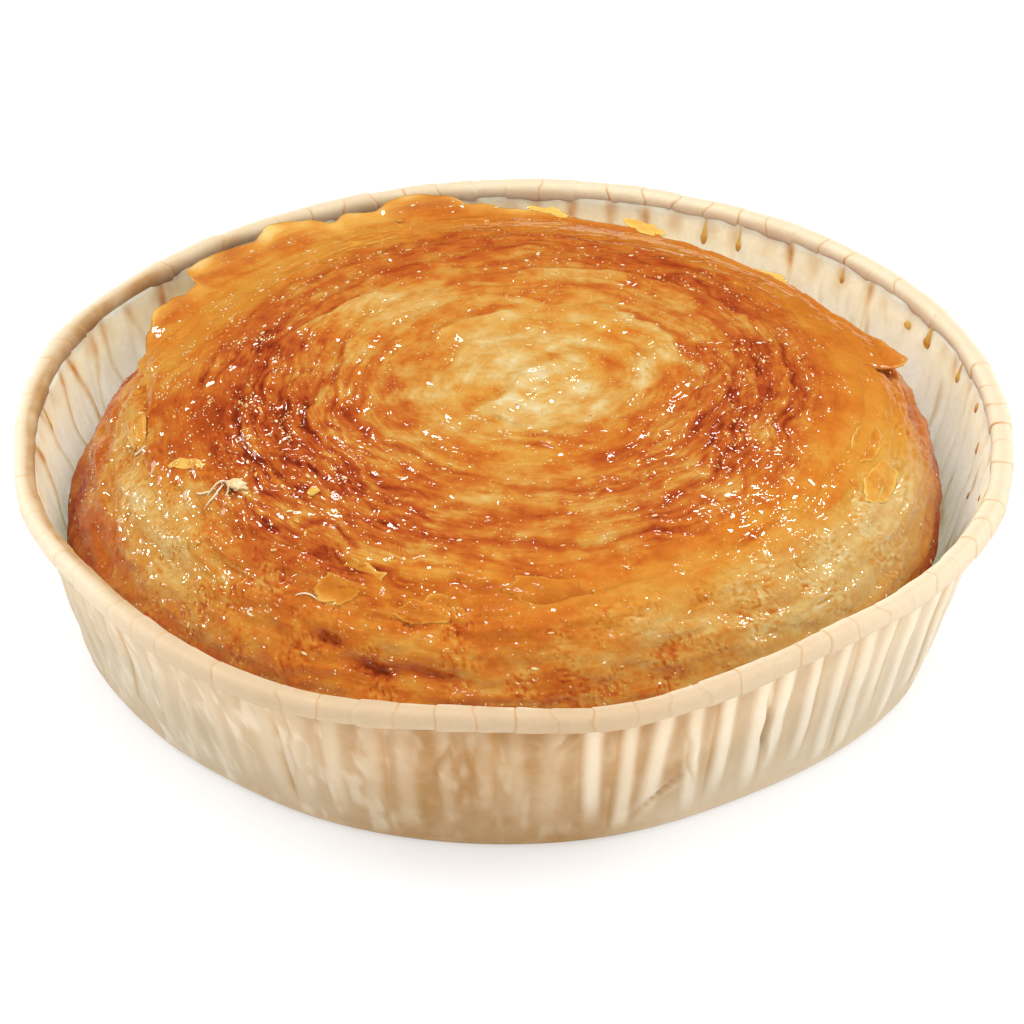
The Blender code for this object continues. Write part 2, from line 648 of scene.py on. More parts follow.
@dataclass(frozen=True)
class BakingPaper:
    """Matt, cream greaseproof paper, tan where butter has seeped in and tan again as painted shade, with its
    inner face painted paler as painted light.
    """

    name: str
    panel: Colour = (203, 184, 156)
    # The pale colour of the pleats' crests and the roll's outer face, partly dry paper and partly painted
    # highlight, and of pale blotches on the crumpled outer wall.
    ridge: Colour = (228, 213, 187)
    # The inner face is much paler than the outer face (panel) of the same paper: painted light on the inner
    # face.
    inner: Colour = (255, 250, 221)
    # Butter-stain tan, which the walls and the roll also lay on as painted shade.
    soaked: Colour = (162, 125, 79)
    crease: Colour = (190, 136, 60)
    speck: Colour = (190, 150, 108)
    fibre: Grain = Grain(1500.0, 4.0, 0.62)
    cloud: Grain = Grain(170.0, 4.0, 0.6)
    breaks: Grain = Grain(420.0, 2.0)
    crinkle: Grain = Grain(620.0, 3.0, 0.6)
    soak_range: tuple[float, float] = (0.7, 1.15)
    crease_range: tuple[float, float] = (0.55, 1.25)
    speck_share: float = 0.16
    shine: float = 0.12
    glow: float = 0.8
    glow_reach: Colour = (0.0020, 0.0020, 0.0019)
    fibre_height: float = 0.35
    crinkle_height: float = 0.8
    relief: float = 0.12

    def make(self) -> Material:
        """Builds the paper's material.

        Returns:
            The material.
        """
        sheet = NodeSheet(self.name, Gloss.PAPER)
        fibre = sheet.cloudy(self.fibre)
        cloud = sheet.cloudy(self.cloud)
        colour = sheet.mixed(sheet.value("inner"), self.panel, self.inner)
        patchy = sheet.spread(cloud, *NOISE_SPAN, *self.soak_range)
        colour = sheet.mixed(sheet.times(sheet.value("soaked"), patchy), colour, self.soaked)
        colour = sheet.mixed(sheet.value("ridge"), colour, self.ridge)
        broken = sheet.spread(sheet.cloudy(self.breaks), *NOISE_SPAN, *self.crease_range)
        creased = sheet.times(sheet.value("crease"), broken, clamp=True)
        colour = sheet.mixed(creased, colour, self.crease)
        grain = sheet.spread(fibre, 0.3, 0.75, 0.0, self.speck_share)
        sheet.set("Base Color", sheet.mixed(grain, colour, self.speck))
        sheet.set("Specular IOR Level", self.shine)
        sheet.soften(self.glow, self.glow_reach)
        crinkle = sheet.cloudy(self.crinkle)
        height = sheet.plus(sheet.times(fibre, self.fibre_height), sheet.times(crinkle, self.crinkle_height))
        sheet.bump(height, self.relief, 0.8)
        return sheet.material


@dataclass(frozen=True)
class CaramelisedDough:
    """Dough baked from cream to deep brown, under caramel where it is amber and yellow where thin."""

    name: str
    gloss: Gloss
    centre: tuple[float, float]
    dough: Stops = (
        (0.0, (206, 190, 152)),
        (0.14, (199, 169, 110)),
        (0.28, (192, 146, 77)),
        (0.42, (186, 125, 53)),
        (0.56, (175, 94, 37)),
        (0.70, (162, 74, 32)),
        (0.85, (136, 49, 25)),
        (1.0, (100, 35, 17)),
    )
    amber: Stops = (
        (0.0, (202, 171, 105)),
        (0.3, (198, 143, 56)),
        (0.55, (189, 110, 37)),
        (0.78, (166, 76, 27)),
        (1.0, (124, 42, 18)),
    )
    thin: Colour = (216, 170, 80)
    sheer: Colour = (222, 194, 130)
    # Pale gold specks of sugar, which also stand in for the glaze's small glints: partly painted glint.
    sugar: Colour = (226, 186, 104)
    cloud: Grain = Grain(330.0)
    fleck: Grain = Grain(1400.0, 3.0, 0.6)
    lump: Grain = Grain(900.0, 3.0, 0.6)
    blotch: float = 0.09
    flecked: float = 0.05
    strand: tuple[float, float] = (0.02, 0.10)
    streak: tuple[float, float] = (2.6, 0.34)
    wet_grain: float = 0.15
    sheer_span: tuple[float, float] = (0.45, 0.8)
    sheer_share: float = 0.75
    sugar_and_glint_specks: tuple[float, float, Grain] = (1350.0, 0.24, Grain(300.0, 3.0, 0.6))
    sugar_and_glint_share: float = 0.5
    bare_coat: float = 0.1
    glow: float = 0.2
    glow_reach: Colour = (0.0010, 0.0005, 0.0002)
    lump_height: float = 0.9
    fleck_height: float = 0.5
    strand_height: float = 0.5
    sugar_height: float = 0.4
    relief: float = 0.26
    coat_grain: Grain = Grain(560.0, 1.5)
    coat_relief: float = 0.18
    relief_strength: float = 0.9

    def make(self) -> Material:
        """Builds the dough's material.

        Returns:
            The material.
        """
        sheet = NodeSheet(self.name, self.gloss)
        cloud = sheet.cloudy(self.cloud)
        fleck = sheet.cloudy(self.fleck)
        strand = sheet.cloudy(Grain(1.0, 2.0), sheet.streaks(self.centre, *self.streak))
        fibrous = sheet.value("fibrous")
        fine = sheet.swing(cloud, self.blotch)
        fine = sheet.plus(fine, sheet.swing(fleck, self.flecked))
        strands = sheet.times(sheet.swing(strand, 1.0), sheet.spread(fibrous, 0.0, 1.0, *self.strand))
        fine = sheet.plus(fine, strands)
        rough = sheet.spread(sheet.value("wet"), 0.0, 1.0, 1.0, self.wet_grain)
        browned = sheet.plus(sheet.value("browning"), sheet.times(fine, rough), clamp=True)
        colour = sheet.mixed(sheet.value("amber"), sheet.ramp(browned, self.dough),
                             sheet.ramp(browned, self.amber))
        thin = sheet.value("thin")
        colour = sheet.mixed(thin, colour, self.thin)
        colour = sheet.mixed(sheet.spread(thin, *self.sheer_span, 0.0, self.sheer_share), colour, self.sheer)
        # Sugar specks, partly real sugar and partly painted glints.
        sugar = sheet.times(sheet.specks(*self.sugar_and_glint_specks), rough)
        sheet.set("Base Color", sheet.mixed(sheet.times(sugar, self.sugar_and_glint_share), colour, self.sugar))
        sheet.set("Specular IOR Level", 0.0)
        coat = self.gloss.value[1]
        sheet.set("Coat Weight", sheet.spread(sheet.value("glaze"), 0.0, 1.0, self.bare_coat, coat))
        sheet.soften(self.glow, self.glow_reach)
        lumpy = sheet.cloudy(self.lump)
        height = sheet.plus(sheet.times(lumpy, self.lump_height), sheet.times(fleck, self.fleck_height))
        height = sheet.plus(height, sheet.times(sheet.times(strand, fibrous), self.strand_height))
        height = sheet.plus(height, sheet.times(sugar, self.sugar_height))
        sheet.bump(sheet.times(height, rough), self.relief, self.relief_strength)
        sheet.bump(sheet.cloudy(self.coat_grain), self.coat_relief, self.relief_strength, "Coat Normal")
        return sheet.material


@dataclass(frozen=True)
class AmberSugar:
    """Clear amber caramel: flakes, drips and runs, yellow where it is thin."""

    thick: Colour = (168, 84, 28)
    middle: Colour = (196, 124, 44)
    thin: Colour = (222, 182, 92)
    cloud: Grain = Grain(420.0, 3.0, 0.55)
    blotch: float = 0.18
    glow: float = 0.08
    glow_reach: Colour = (0.0006, 0.0004, 0.0002)
    skin: Grain = Grain(900.0, 2.0)
    coat: Grain = Grain(560.0, 1.0)
    relief: float = 0.12
    relief_strength: float = 0.6

    def make(self) -> Material:
        """Builds the caramel's material.

        Returns:
            The material.
        """
        sheet = NodeSheet("amber_sugar", Gloss.SUGAR)
        cloud = sheet.cloudy(self.cloud)
        share = sheet.plus(sheet.value("thin"), sheet.swing(cloud, self.blotch), clamp=True)
        stops = ((0.0, self.thick), (0.5, self.middle), (1.0, self.thin))
        sheet.set("Base Color", sheet.ramp(share, stops))
        sheet.set("Specular IOR Level", 0.0)
        sheet.soften(self.glow, self.glow_reach)
        sheet.bump(sheet.cloudy(self.skin), self.relief, self.relief_strength)
        sheet.bump(sheet.cloudy(self.coat), self.relief, self.relief_strength, "Coat Normal")
        return sheet.material


@dataclass(frozen=True)
class PaleCrumb:
    """Bare dough and pulled sugar that stayed pale: cream, with a grain of crumb."""

    cream: Colour = (226, 210, 172)
    golden: Colour = (214, 164, 84)
    cloud: Grain = Grain(900.0, 3.0, 0.6)
    blotch: float = 0.3
    shine: float = 0.3
    glow: float = 0.3
    glow_reach: Colour = (0.001, 0.0008, 0.0004)
    relief: float = 0.12

    def make(self) -> Material:
        """Builds the crumb's material.

        Returns:
            The material.
        """
        sheet = NodeSheet("pale_crumb", Gloss.CRUMB)
        cloud = sheet.cloudy(self.cloud)
        share = sheet.plus(sheet.value("tint"), sheet.swing(cloud, self.blotch), clamp=True)
        sheet.set("Base Color", sheet.mixed(share, self.cream, self.golden))
        sheet.set("Specular IOR Level", self.shine)
        sheet.soften(self.glow, self.glow_reach)
        sheet.bump(cloud, self.relief, 0.7)
        return sheet.material


@dataclass(frozen=True)
class SugarGlint:
    """Half-melted sugar beads, from clear pale gold to amber; their pale tints also stand in for glints on
    the glaze, as painted highlights.
    """

    pale: Colour = (234, 214, 168)
    amber: Colour = (224, 160, 68)
    cloud: Grain = Grain(1100.0, 2.0)
    blotch: float = 0.12
    shine: float = 0.8
    relief: float = 0.05

    def make(self) -> Material:
        """Builds the beads' material.

        Returns:
            The material.
        """
        sheet = NodeSheet("sugar_glint", Gloss.SUGAR)
        cloud = sheet.cloudy(self.cloud)
        share = sheet.plus(sheet.value("tint"), sheet.swing(cloud, self.blotch), clamp=True)
        sheet.set("Base Color", sheet.mixed(share, self.pale, self.amber))
        sheet.set("Specular IOR Level", self.shine)
        sheet.bump(cloud, self.relief, 0.4)
        return sheet.material


@dataclass(frozen=True)
class PaleFloor:
    """The studio's plain, pale, matt floor."""

    colour: Colour = (204, 206, 209)
    lift: float = 0.4

    def make(self) -> Material:
        """Builds the floor's material.

        Returns:
            The material.
        """
        sheet = NodeSheet("pale_floor", Gloss.PAPER)
        sheet.set("Base Color", linear(self.colour))
        sheet.set("Specular IOR Level", 0.0)
        sheet.set("Emission Color", linear((255, 255, 255)))
        sheet.set("Emission Strength", self.lift)
        return sheet.material


# ---------------------------------------------------------------- the pastry


@dataclass(frozen=True)
class PastryForm:
    """The pastry's overall form, as its solid has it: a dome that leans a little off its foot."""

    centre: tuple[float, float] = (-0.9, 0.3)
    underside: float = 0.9
    radius: float = 48.7
    foot_radius: float = 45.0
    foot_bevel: float = 1.2
    waist: float = 11.5
    crown: float = 29.7
    crown_shift: tuple[float, float] = (2.4, 2.0)
    shoulder_power: float = 4.0
    dome_power: float = 0.52
    waves: tuple[tuple[float, float, float], ...] = ((2.0, 1.22, 0.008), (3.0, 4.19, 0.003))
    waves_from: float = 0.6
    coil_centre: tuple[float, float] = (2.6, -1.6)
    coil_pitch: float = 4.4
    sag_span: tuple[float, float] = (22.0, 38.0)
    sag_rise: float = 7.0
    sag: Knots = (
        (0, 0.0), (14, 0.1), (30, 0.6), (45, 0.8), (60, 0.9), (72, 0.8), (88, 0.3), (105, 0.0), (200, 0.0),
    )

    def height(self, radius: Array) -> Array:
        """Height of the dome above the pastry's underside at a distance from its axis."""
        rise = (1.0 - np.clip(radius / self.radius, 0.0, 1.0) ** self.shoulder_power) ** self.dome_power
        return self.waist + (self.crown - self.waist) * rise

    def place(self, radius: Array, height: Array, bearing: Array) -> Array:
        """Puts points of the section at their bearings, with the form's waves and lean.

        Args:
            radius: Distance of each point from the axis.
            height: Height of each point above the pastry's underside.
            bearing: Bearing of each point about the axis.

        Returns:
            The points in the frame, in millimetres.
        """
        angle = np.radians(bearing)
        wave = sum(size * np.sin(count * angle + phase) for count, phase, size in self.waves)
        outer = smoothstep(self.waves_from * self.radius, self.radius, radius)
        reach = radius * (1.0 + wave * outer)
        rise = np.maximum(0.0, height - self.waist) / (self.crown - self.waist)
        x = self.centre[0] + reach * np.cos(angle) + rise * self.crown_shift[0]
        y = self.centre[1] + reach * np.sin(angle) + rise * self.crown_shift[1]
        sunk = round_curve(self.sag, bearing) * smoothstep(*self.sag_span, radius)
        sunk = sunk * smoothstep(self.waist, self.waist + self.sag_rise, height)
        return np.stack([x, y, self.underside + height - sunk], 1)

    def from_coil(self, points: Array) -> tuple[Array, Array]:
        """Distance and bearing of each point from the middle of the coil, seen from above."""
        across, along = points[:, 0] - self.coil_centre[0], points[:, 1] - self.coil_centre[1]
        return np.hypot(across, along), np.degrees(np.arctan2(along, across)) % FULL_TURN


@dataclass(frozen=True)
class Patch:
    """A soft patch of the top, placed about the coil's middle.

    Its bearing and distance give its middle, its turn is the half angle that it spans, and its
    depth its half width across the rings.
    """

    bearing: float
    distance: float
    turn: float
    depth: float
    strength: float

    def share(self, distance: Array, bearing: Array) -> Array:
        """How much of the patch there is at each place, times its strength."""
        along = bell(turned_from(bearing, self.bearing), self.turn)
        return self.strength * along * bell(distance - self.distance, self.depth)


@dataclass(frozen=True)
class Crest:
    """A curled edge of the coil that stands up: gentle on its inner side and steep on its outer.

    Its bearing and turn give its middle and half angle, its distance where it runs and its spiral
    how much further out it gets over its half angle.
    """

    bearing: float
    turn: float
    distance: float
    spiral: float
    height: float
    width: float
    pale: float

    def shape(self, ringed: Array, bearing: Array) -> tuple[Array, Array]:
        """Reads the crest.

        Args:
            ringed: Distance of each place from the middle of the coil, as its turns run.
            bearing: Bearing of each place about it.

        Returns:
            The crest's height share and the share of the shadow at its foot.
        """
        along = turned_from(bearing, self.bearing) / self.turn
        ends = 1.0 - smoothstep(0.6, 1.0, np.abs(along))
        away = ringed - self.distance - self.spiral * np.clip(along, -1.0, 1.0)
        side = np.where(away < 0.0, 2.6 * self.width, 0.45 * self.width)
        return ends * bell(away, side), ends * bell(away - 0.9 * self.width, 0.5 * self.width)


@dataclass(frozen=True)
class CentreFold:
    """The dough's tucked-in end at the coil's middle: a crumpled pale plateau behind a curved lip."""

    lip: tuple[tuple[float, float], ...] = (
        (-2.2, -8.4), (-3.7, -7.4), (-2.8, -6.0), (-1.4, -5.4), (-0.4, -3.6), (0.2, -2.0), (0.5, -0.4),
        (1.6, 1.0), (3.4, 1.8), (5.0, 3.0),
    )
    rise: float = 0.5
    plateau: float = 8.5
    edge: float = 1.5
    bead: float = 0.25

    def read(self, points: Array) -> tuple[Array, Array, Array]:
        """Reads the fold at points of the top.

        Args:
            points: Points in the frame.

        Returns:
            The rise, how much of the pale plateau there is, and how much of the lip's shadow.
        """
        best = np.full(len(points), 99.0)
        side = np.zeros(len(points))
        for (x0, y0), (x1, y1) in itertools.pairwise(self.lip):
            along_x, along_y = x1 - x0, y1 - y0
            length = math.hypot(along_x, along_y)
            from_x, from_y = points[:, 0] - x0, points[:, 1] - y0
            share = np.clip((from_x * along_x + from_y * along_y) / length**2, 0.0, 1.0)
            away = np.hypot(from_x - share * along_x, from_y - share * along_y)
            cross = (from_x * along_y - from_y * along_x) / length
            nearer = away < best
            best = np.where(nearer, away, best)
            side = np.where(nearer, np.sign(cross), side)
        signed = best * side
        middle = np.array(self.lip).mean(0)
        spread = bell(np.hypot(points[:, 0] - middle[0], points[:, 1] - middle[1]), 1.15 * self.plateau)
        raised = smoothstep(-0.3, self.edge, signed) * (1.0 - smoothstep(1.5, self.plateau, signed)) * spread
        shadow = bell(signed + 0.9, 1.0) * smoothstep(0.2, 0.6, spread)
        beaded = self.bead * bell(signed - 0.7, 0.6) * smoothstep(0.3, 0.8, spread)
        return self.rise * raised + beaded, raised, shadow


@dataclass
class Skin:
    """What the bake has made of each point: its rise, colour and caramel."""

    relief: Array
    browning: Array
    amber: Array
    wet: Array
    fibrous: Array


@dataclass(frozen=True)
class Raised:
    """How far each feature raises or sinks the skin, in millimetres."""

    turn: float = 0.14
    seam: float = 0.12
    fold_shadow: float = 0.12
    crumple: float = 0.26
    slit: float = 1.3
    broad: float = 0.14
    strand: float = 0.08
    lump: float = 0.10
    chip: float = 0.09
    lap: float = 0.34


@dataclass(frozen=True)
class Browned:
    """How much each feature browns or pales the skin, on the bake's scale from 0 to 1. The darkening under
    each lap, in the strata's hollows and lines, in the slits, at the crests' feet and beside the centre's lip
    is painted shade.
    """

    broad: float = 0.16
    strand: float = 0.12
    lump: float = 0.06
    cloud: float = 0.12
    chip: float = 0.10
    under_leaf_shade: float = 0.2
    leaf: float = 0.12
    seam: float = 0.10
    fold_shadow: float = 0.14
    plateau: float = 0.06
    crumple: float = 0.12
    hollow_shade: float = 0.10
    line: float = 0.24
    torn: float = 0.16
    slit: float = 0.45
    crest_foot_shade: float = 0.16


@dataclass(frozen=True)
class Bake:
    """How the coiled dough's skin rises, browns and shines from place to place."""

    form: PastryForm
    fold: CentreFold = CentreFold()
    seed: int = 11
    rim_of_top: tuple[float, float] = (37.5, 43.0)
    coiled_from: tuple[float, float] = (6.0, 13.0)
    lap_pitch: float = 2.3
    leaf_count: float = 5.0
    leaf_rise: float = 0.65
    fine_rise: float = 0.12
    pool_calm: float = 0.85
    raised: Raised = Raised()
    browned: Browned = Browned()
    broad: Weave = Weave(0.0, 7.0, 2.7, 3)
    strand: Weave = Weave(4.0, 4.0, 0.9, 2)
    chip: Weave = Weave(0.0, 2.4, 1.1)
    lapping: Weave = Weave(120.0, 7.0, 2.6)
    crumple: Weave = Weave(80.0, 2.6, 1.3, 3)
    band: Weave = Weave(0.0, 10.0, 3.0, 3)
    fine: Weave = Weave(3.0, 5.0, 0.7, 2)
    browning: Knots = (
        (0.0, 0.13), (4.0, 0.19), (8.0, 0.30), (12.0, 0.36), (18.0, 0.44), (24.0, 0.52),
        (31.0, 0.56), (36.0, 0.52), (41.0, 0.44), (46.0, 0.48), (52.0, 0.60),
    )
    # The pale patches at bearings 188 and 206, about 45 out on the left shoulder, stand in for soft
    # highlights on the glaze: painted highlight.
    browner: tuple[Patch, ...] = many(
        Patch,
        (235, 6, 60, 4, -0.06), (215, 9, 30, 4, -0.10), (8, 9, 25, 3, 0.03), (0, 14, 22, 3, -0.07),
        (100, 15, 22, 3.5, -0.08), (138, 23, 28, 4.5, -0.16), (180, 15, 22, 4, 0.06),
        (157, 33, 24, 6, 0.14), (186, 30, 22, 8, 0.16), (185, 36.5, 9, 3.6, 0.25), (138, 44, 14, 4, -0.08),
        (86, 43, 24, 4, 0.18), (112, 45, 14, 4, -0.03), (215, 28, 26, 8, 0.12), (226, 38, 14, 4, 0.14),
        (46, 30, 30, 4, 0.14), (90, 34, 24, 3, 0.14), (5, 26, 22, 6, 0.12), (325, 20, 34, 7, 0.14),
        (285, 13, 20, 3, 0.08), (255, 21, 26, 3.5, -0.04), (300, 30, 14, 3, 0.06), (252, 29, 12, 3, 0.08),
        (317, 42, 28, 5.5, -0.25), (345, 39, 20, 3.5, -0.10), (320, 49.2, 30, 3.2, 0.38),
        (352, 49.6, 20, 3.0, 0.44), (180, 14, 26, 4, 0.10), (222, 16, 24, 5, 0.12), (275, 17, 30, 5, 0.06),
        (0, 20, 20, 4, 0.04), (222, 47, 20, 3, -0.06), (340, 20, 30, 4.5, 0.10), (180, 28, 14, 4, -0.06),
        (90, 37.5, 60, 3.5, 0.02), (50, 42, 26, 5, 0.10), (15, 42, 16, 4, 0.12), (286, 8, 50, 4, 0.07),
        (180, 41.5, 12, 2.5, 0.14), (300, 37, 12, 3, -0.06), (346, 43, 14, 3, -0.14),
        (350, 49.4, 30, 3.8, 0.48), (185, 49.5, 24, 2.8, 0.05), (188, 45.5, 18, 3, -0.22),
        (206, 45, 10, 3, -0.16), (235, 43, 18, 5, 0.08), (272, 44, 20, 4, 0.04),
    )
    caramel: tuple[Patch, ...] = many(
        Patch,
        (100, 43, 50, 6, 1.0), (60, 40, 30, 6, 1.0), (20, 39, 30, 6, 1.0), (352, 36, 24, 5, 0.9),
        (150, 43, 18, 5, 1.0), (320, 34, 24, 3, 0.7), (280, 35, 30, 4, 0.9), (248, 38, 14, 4, 0.7),
        (270, 15, 40, 3, 0.5), (60, 14, 40, 4, 0.4), (185, 36.5, 12, 4, 0.8), (240, 44, 30, 4, 0.5),
        (318, 42, 26, 4.5, -0.9), (350, 45, 14, 4, -0.8), (192, 46, 24, 3, -0.7),
    )
    pools: tuple[Patch, ...] = many(
        Patch,
        (185, 36.5, 8, 3.4, 1.0), (150, 42, 14, 4, 1.0), (95, 43, 50, 4.5, 1.0), (50, 41, 25, 5, 0.9),
        (14, 40, 24, 5, 1.0), (13, 44, 9, 5, 1.0), (352, 37, 16, 4, 0.7), (275, 36, 26, 2.5, 0.8),
    )
    fibrous: tuple[Patch, ...] = many(
        Patch,
        (190, 30, 50, 12, 0.9), (228, 33, 30, 8, 0.6), (350, 23, 42, 9, 0.7), (300, 24, 34, 8, 0.35),
        (60, 27, 38, 7, 0.3), (100, 33, 26, 4, 0.4),
    )
    crests: tuple[Crest, ...] = many(
        Crest,
        (117, 26, 14.0, -0.4, 0.35, 0.9, 0.16), (143, 16, 27.5, 1.4, 0.45, 0.9, 0.20),
        (267, 15, 13.2, 0.8, 0.40, 0.7, 0.10), (232, 22, 19.5, 0.8, 0.30, 0.7, 0.10),
        (205, 30, 25.0, 1.2, 0.40, 0.8, 0.14), (175, 26, 22.0, -1.0, 0.35, 0.7, 0.12),
        (192, 22, 32.0, 0.8, 0.40, 0.8, 0.12), (345, 30, 20.5, 0.9, 0.35, 0.7, 0.12),
        (358, 26, 28.5, 0.7, 0.40, 0.8, 0.10), (320, 26, 24.5, -0.7, 0.30, 0.7, 0.10),
        (40, 30, 17.0, 0.8, 0.25, 0.8, 0.08), (75, 28, 24.5, -0.8, 0.30, 0.8, 0.10),
        (285, 28, 29.5, 0.9, 0.30, 0.8, 0.06), (248, 20, 35.5, -0.6, 0.35, 0.8, 0.06),
    )
    evened: tuple[Patch, ...] = many(
        Patch,
        (318, 43, 34, 7, 0.65), (350, 45, 14, 5, 0.6), (14, 44, 12, 6, 1.0), (228, 43, 22, 6, 0.45),
        (80, 43, 60, 4, 0.5), (190, 46, 22, 4, 0.4),
    )
    slits: tuple[Patch, ...] = many(
        Patch,
        (239, 43.3, 2.4, 0.5, 0.8), (246.5, 44.2, 3.4, 0.5, 1.0), (256, 43.6, 4.0, 0.45, 0.8),
    )

    def read(self, points: Array, radius: Array, path: Array, level: Array | float = 0.0) -> Skin:
        """Works out the skin at points of the form.

        Args:
            points: Points on the form, in the frame.
            radius: Distance of each point from the pastry's own axis, along its section.
            path: Distance down the section from the crown, which counts the shoulder's layers.
            level: How much of each point is smooth, level caramel without layers.

        Returns:
            The skin at each point.
        """
        noise = SeededNoise(self.seed)
        high, tone = self.raised, self.browned
        distance, bearing = self.form.from_coil(points)
        plan = points * (1.0, 1.0, 0.0)
        drift = 2.0 * noise.at(plan / 14.0) + 1.3 * noise.at(plan / 6.0 + 9.0)
        drift += 0.4 * noise.at(plan / 2.4 + 14.0)
        ringed = distance + drift
        top = 1.0 - smoothstep(*self.rim_of_top, radius)
        coiled = smoothstep(*self.coiled_from, distance)
        fibrous = np.clip(0.12 + self._total(self.fibrous, distance, bearing), 0.0, 1.0)
        amber = self._total(self.caramel, distance, bearing)
        wet = np.clip(self._total(self.pools, distance, bearing), 0.0, 1.0)

        depth = np.where(top > 0.5, ringed, path + drift)
        broad = self.broad.read(noise, plan, depth)
        strands = np.clip(1.0 - np.abs(self.strand.read(noise, plan, depth)) / 0.4, -1.0, 1.0)
        clouds = noise.layered(points / 5.5 + 30.0, 3)
        lumps = noise.layered(points / 1.8, 2)
        chip, chip_shade = self._chips(noise, plan, depth)
        chippy = fibrous * coiled * (1.0 - wet) * smoothstep(-0.4, 0.4, noise.at(plan / 6.0 + 90.0) + 0.1)

        phase = (ringed / self.form.coil_pitch - bearing / FULL_TURN) % 1.0
        seam = bell(np.minimum(phase, 1.0 - phase), 0.12) * coiled
        seam *= smoothstep(-0.15, 0.35, noise.at(plan / 7.0 + 21.0))
        amber = np.clip(0.15 + amber + 0.35 * clouds + 0.2 * broad, 0.0, 1.0)

        lap = ((ringed + 0.9 * noise.at(plan / 5.0 + 33.0)) / self.lap_pitch) % 1.0
        leaf = lap**1.6 * (1.0 - smoothstep(0.84, 1.0, lap))
        # The foot of each lap, under the edge of the lap outside it.
        under = bell(np.minimum(lap, 1.0 - lap), 0.13)
        lapped = top * coiled * fibrous * smoothstep(-0.25, 0.25, self.lapping.read(noise, plan, ringed))

        rise, plateau, shadow = self.fold.read(points)
        crumple = self.crumple.read(noise, plan, points[:, 0] * 0.6 - points[:, 1] * 0.8)
        strata, line, torn = (part * (1.0 - level) for part in self._strata(noise, plan, path))
        slit = np.clip(self._total(self.slits, distance, bearing), 0.0, 1.0)

        calm = 1.0 - self.pool_calm * wet
        relief = top * (high.turn * np.sin(np.pi * phase) ** 0.8 * coiled - high.seam * seam) * calm
        relief += rise - high.fold_shadow * shadow + high.crumple * plateau * crumple
        relief += (1.0 - top) * strata - high.slit * slit
        relief += calm * (high.broad * broad + high.strand * fibrous * strands + high.lump * lumps)
        relief += high.chip * chippy * chip + high.lap * lapped * leaf * calm

        brown = np.interp(distance, *np.array(self.browning).T)
        brown += self._total(self.browner, distance, bearing)
        even = np.clip(1.0 - self._total(self.evened, distance, bearing), 0.0, 1.0)
        mottle = tone.broad * broad - tone.strand * fibrous * (strands - 0.3) + tone.lump * lumps
        brown += calm * even * mottle + tone.cloud * even * clouds
        # Darker at each lap's foot, under the overhanging edge: painted shade. Paler as each lap rises.
        leafy = tone.under_leaf_shade * under - tone.leaf * leaf
        brown += tone.chip * chippy * chip_shade + lapped * calm * leafy
        pale = plateau * (tone.plateau - tone.crumple * crumple)
        brown += top * tone.seam * seam * calm + tone.fold_shadow * shadow - pale
        # The hollows between the layers and the line under each leaf's edge are darkened: painted shade.
        layers = tone.hollow_shade * smoothstep(0.0, 0.6, -strata) + tone.line * line - tone.torn * torn
        # The sunk slits are darkened too: painted shade in the gaps.
        brown += (1.0 - top) * layers + tone.slit * slit
        # Each crest is paled on its crown and darkened at its steep foot; the foot's darkening is painted
        # shade.
        for crest in self.crests:
            crown, foot = crest.shape(ringed, bearing)
            relief += crest.height * crown
            brown += tone.crest_foot_shade * foot - crest.pale * crown
        return Skin(relief, np.clip(brown, 0.0, 1.0), amber, wet, fibrous)

    @staticmethod
    def _total(patches: tuple[Patch, ...], distance: Array, bearing: Array) -> Array:
        """Sums patches at places about the coil's middle."""
        return sum(patch.share(distance, bearing) for patch in patches)

    def _chips(self, noise: SeededNoise, plan: Array, depth: Array) -> tuple[Array, Array]:
        """Reads the chips of crust.

        Args:
            noise: The noise that shapes them.
            plan: Points flattened to the plan.
            depth: How far each point is across the turns.

        Returns:
            A height that is highest amid each chip, and each chip's own shade.
        """
        at = self.chip.laid(plan, depth)
        bent = np.stack([noise.at(at * 1.7 + 5.0), noise.at(at * 1.7 + 45.0), noise.at(at * 1.7)], 1)
        away, own = noise.nearest_spot(at + 0.35 * bent)
        return (own - 0.5) + 0.5 - away, own - 0.5

    def _strata(self, noise: SeededNoise, plan: Array, path: Array) -> tuple[Array, Array, Array]:
        """The shoulder's baked layers: ragged leaves that lap over each other and run level.

        Args:
            noise: The noise that shapes them.
            plan: Points flattened to the plan.
            path: Distance down the section from the crown.

        Returns:
            The layers' rise, how much of a dark line there is under each leaf's edge (painted shade), and how
            much of a pale, torn edge above it.
        """
        wander = path + 1.4 * noise.at(plan / 14.0 + 70.0) + 0.5 * noise.at(plan / 3.5 + 75.0)
        leaves = self.band.read(noise, plan, wander) * self.leaf_count
        stepped = np.floor(leaves) + smoothstep(0.0, 0.45, leaves % 1.0)
        fine = self.fine.read(noise, plan, wander)
        shown = smoothstep(-0.3, 0.4, noise.at(plan / 4.0 + 66.0))
        line = bell(leaves % 1.0 - 0.12, 0.11) * shown
        torn = bell(leaves % 1.0 - 0.4, 0.12) * shown
        return self.leaf_rise * stepped / self.leaf_count + self.fine_rise * fine, line, torn


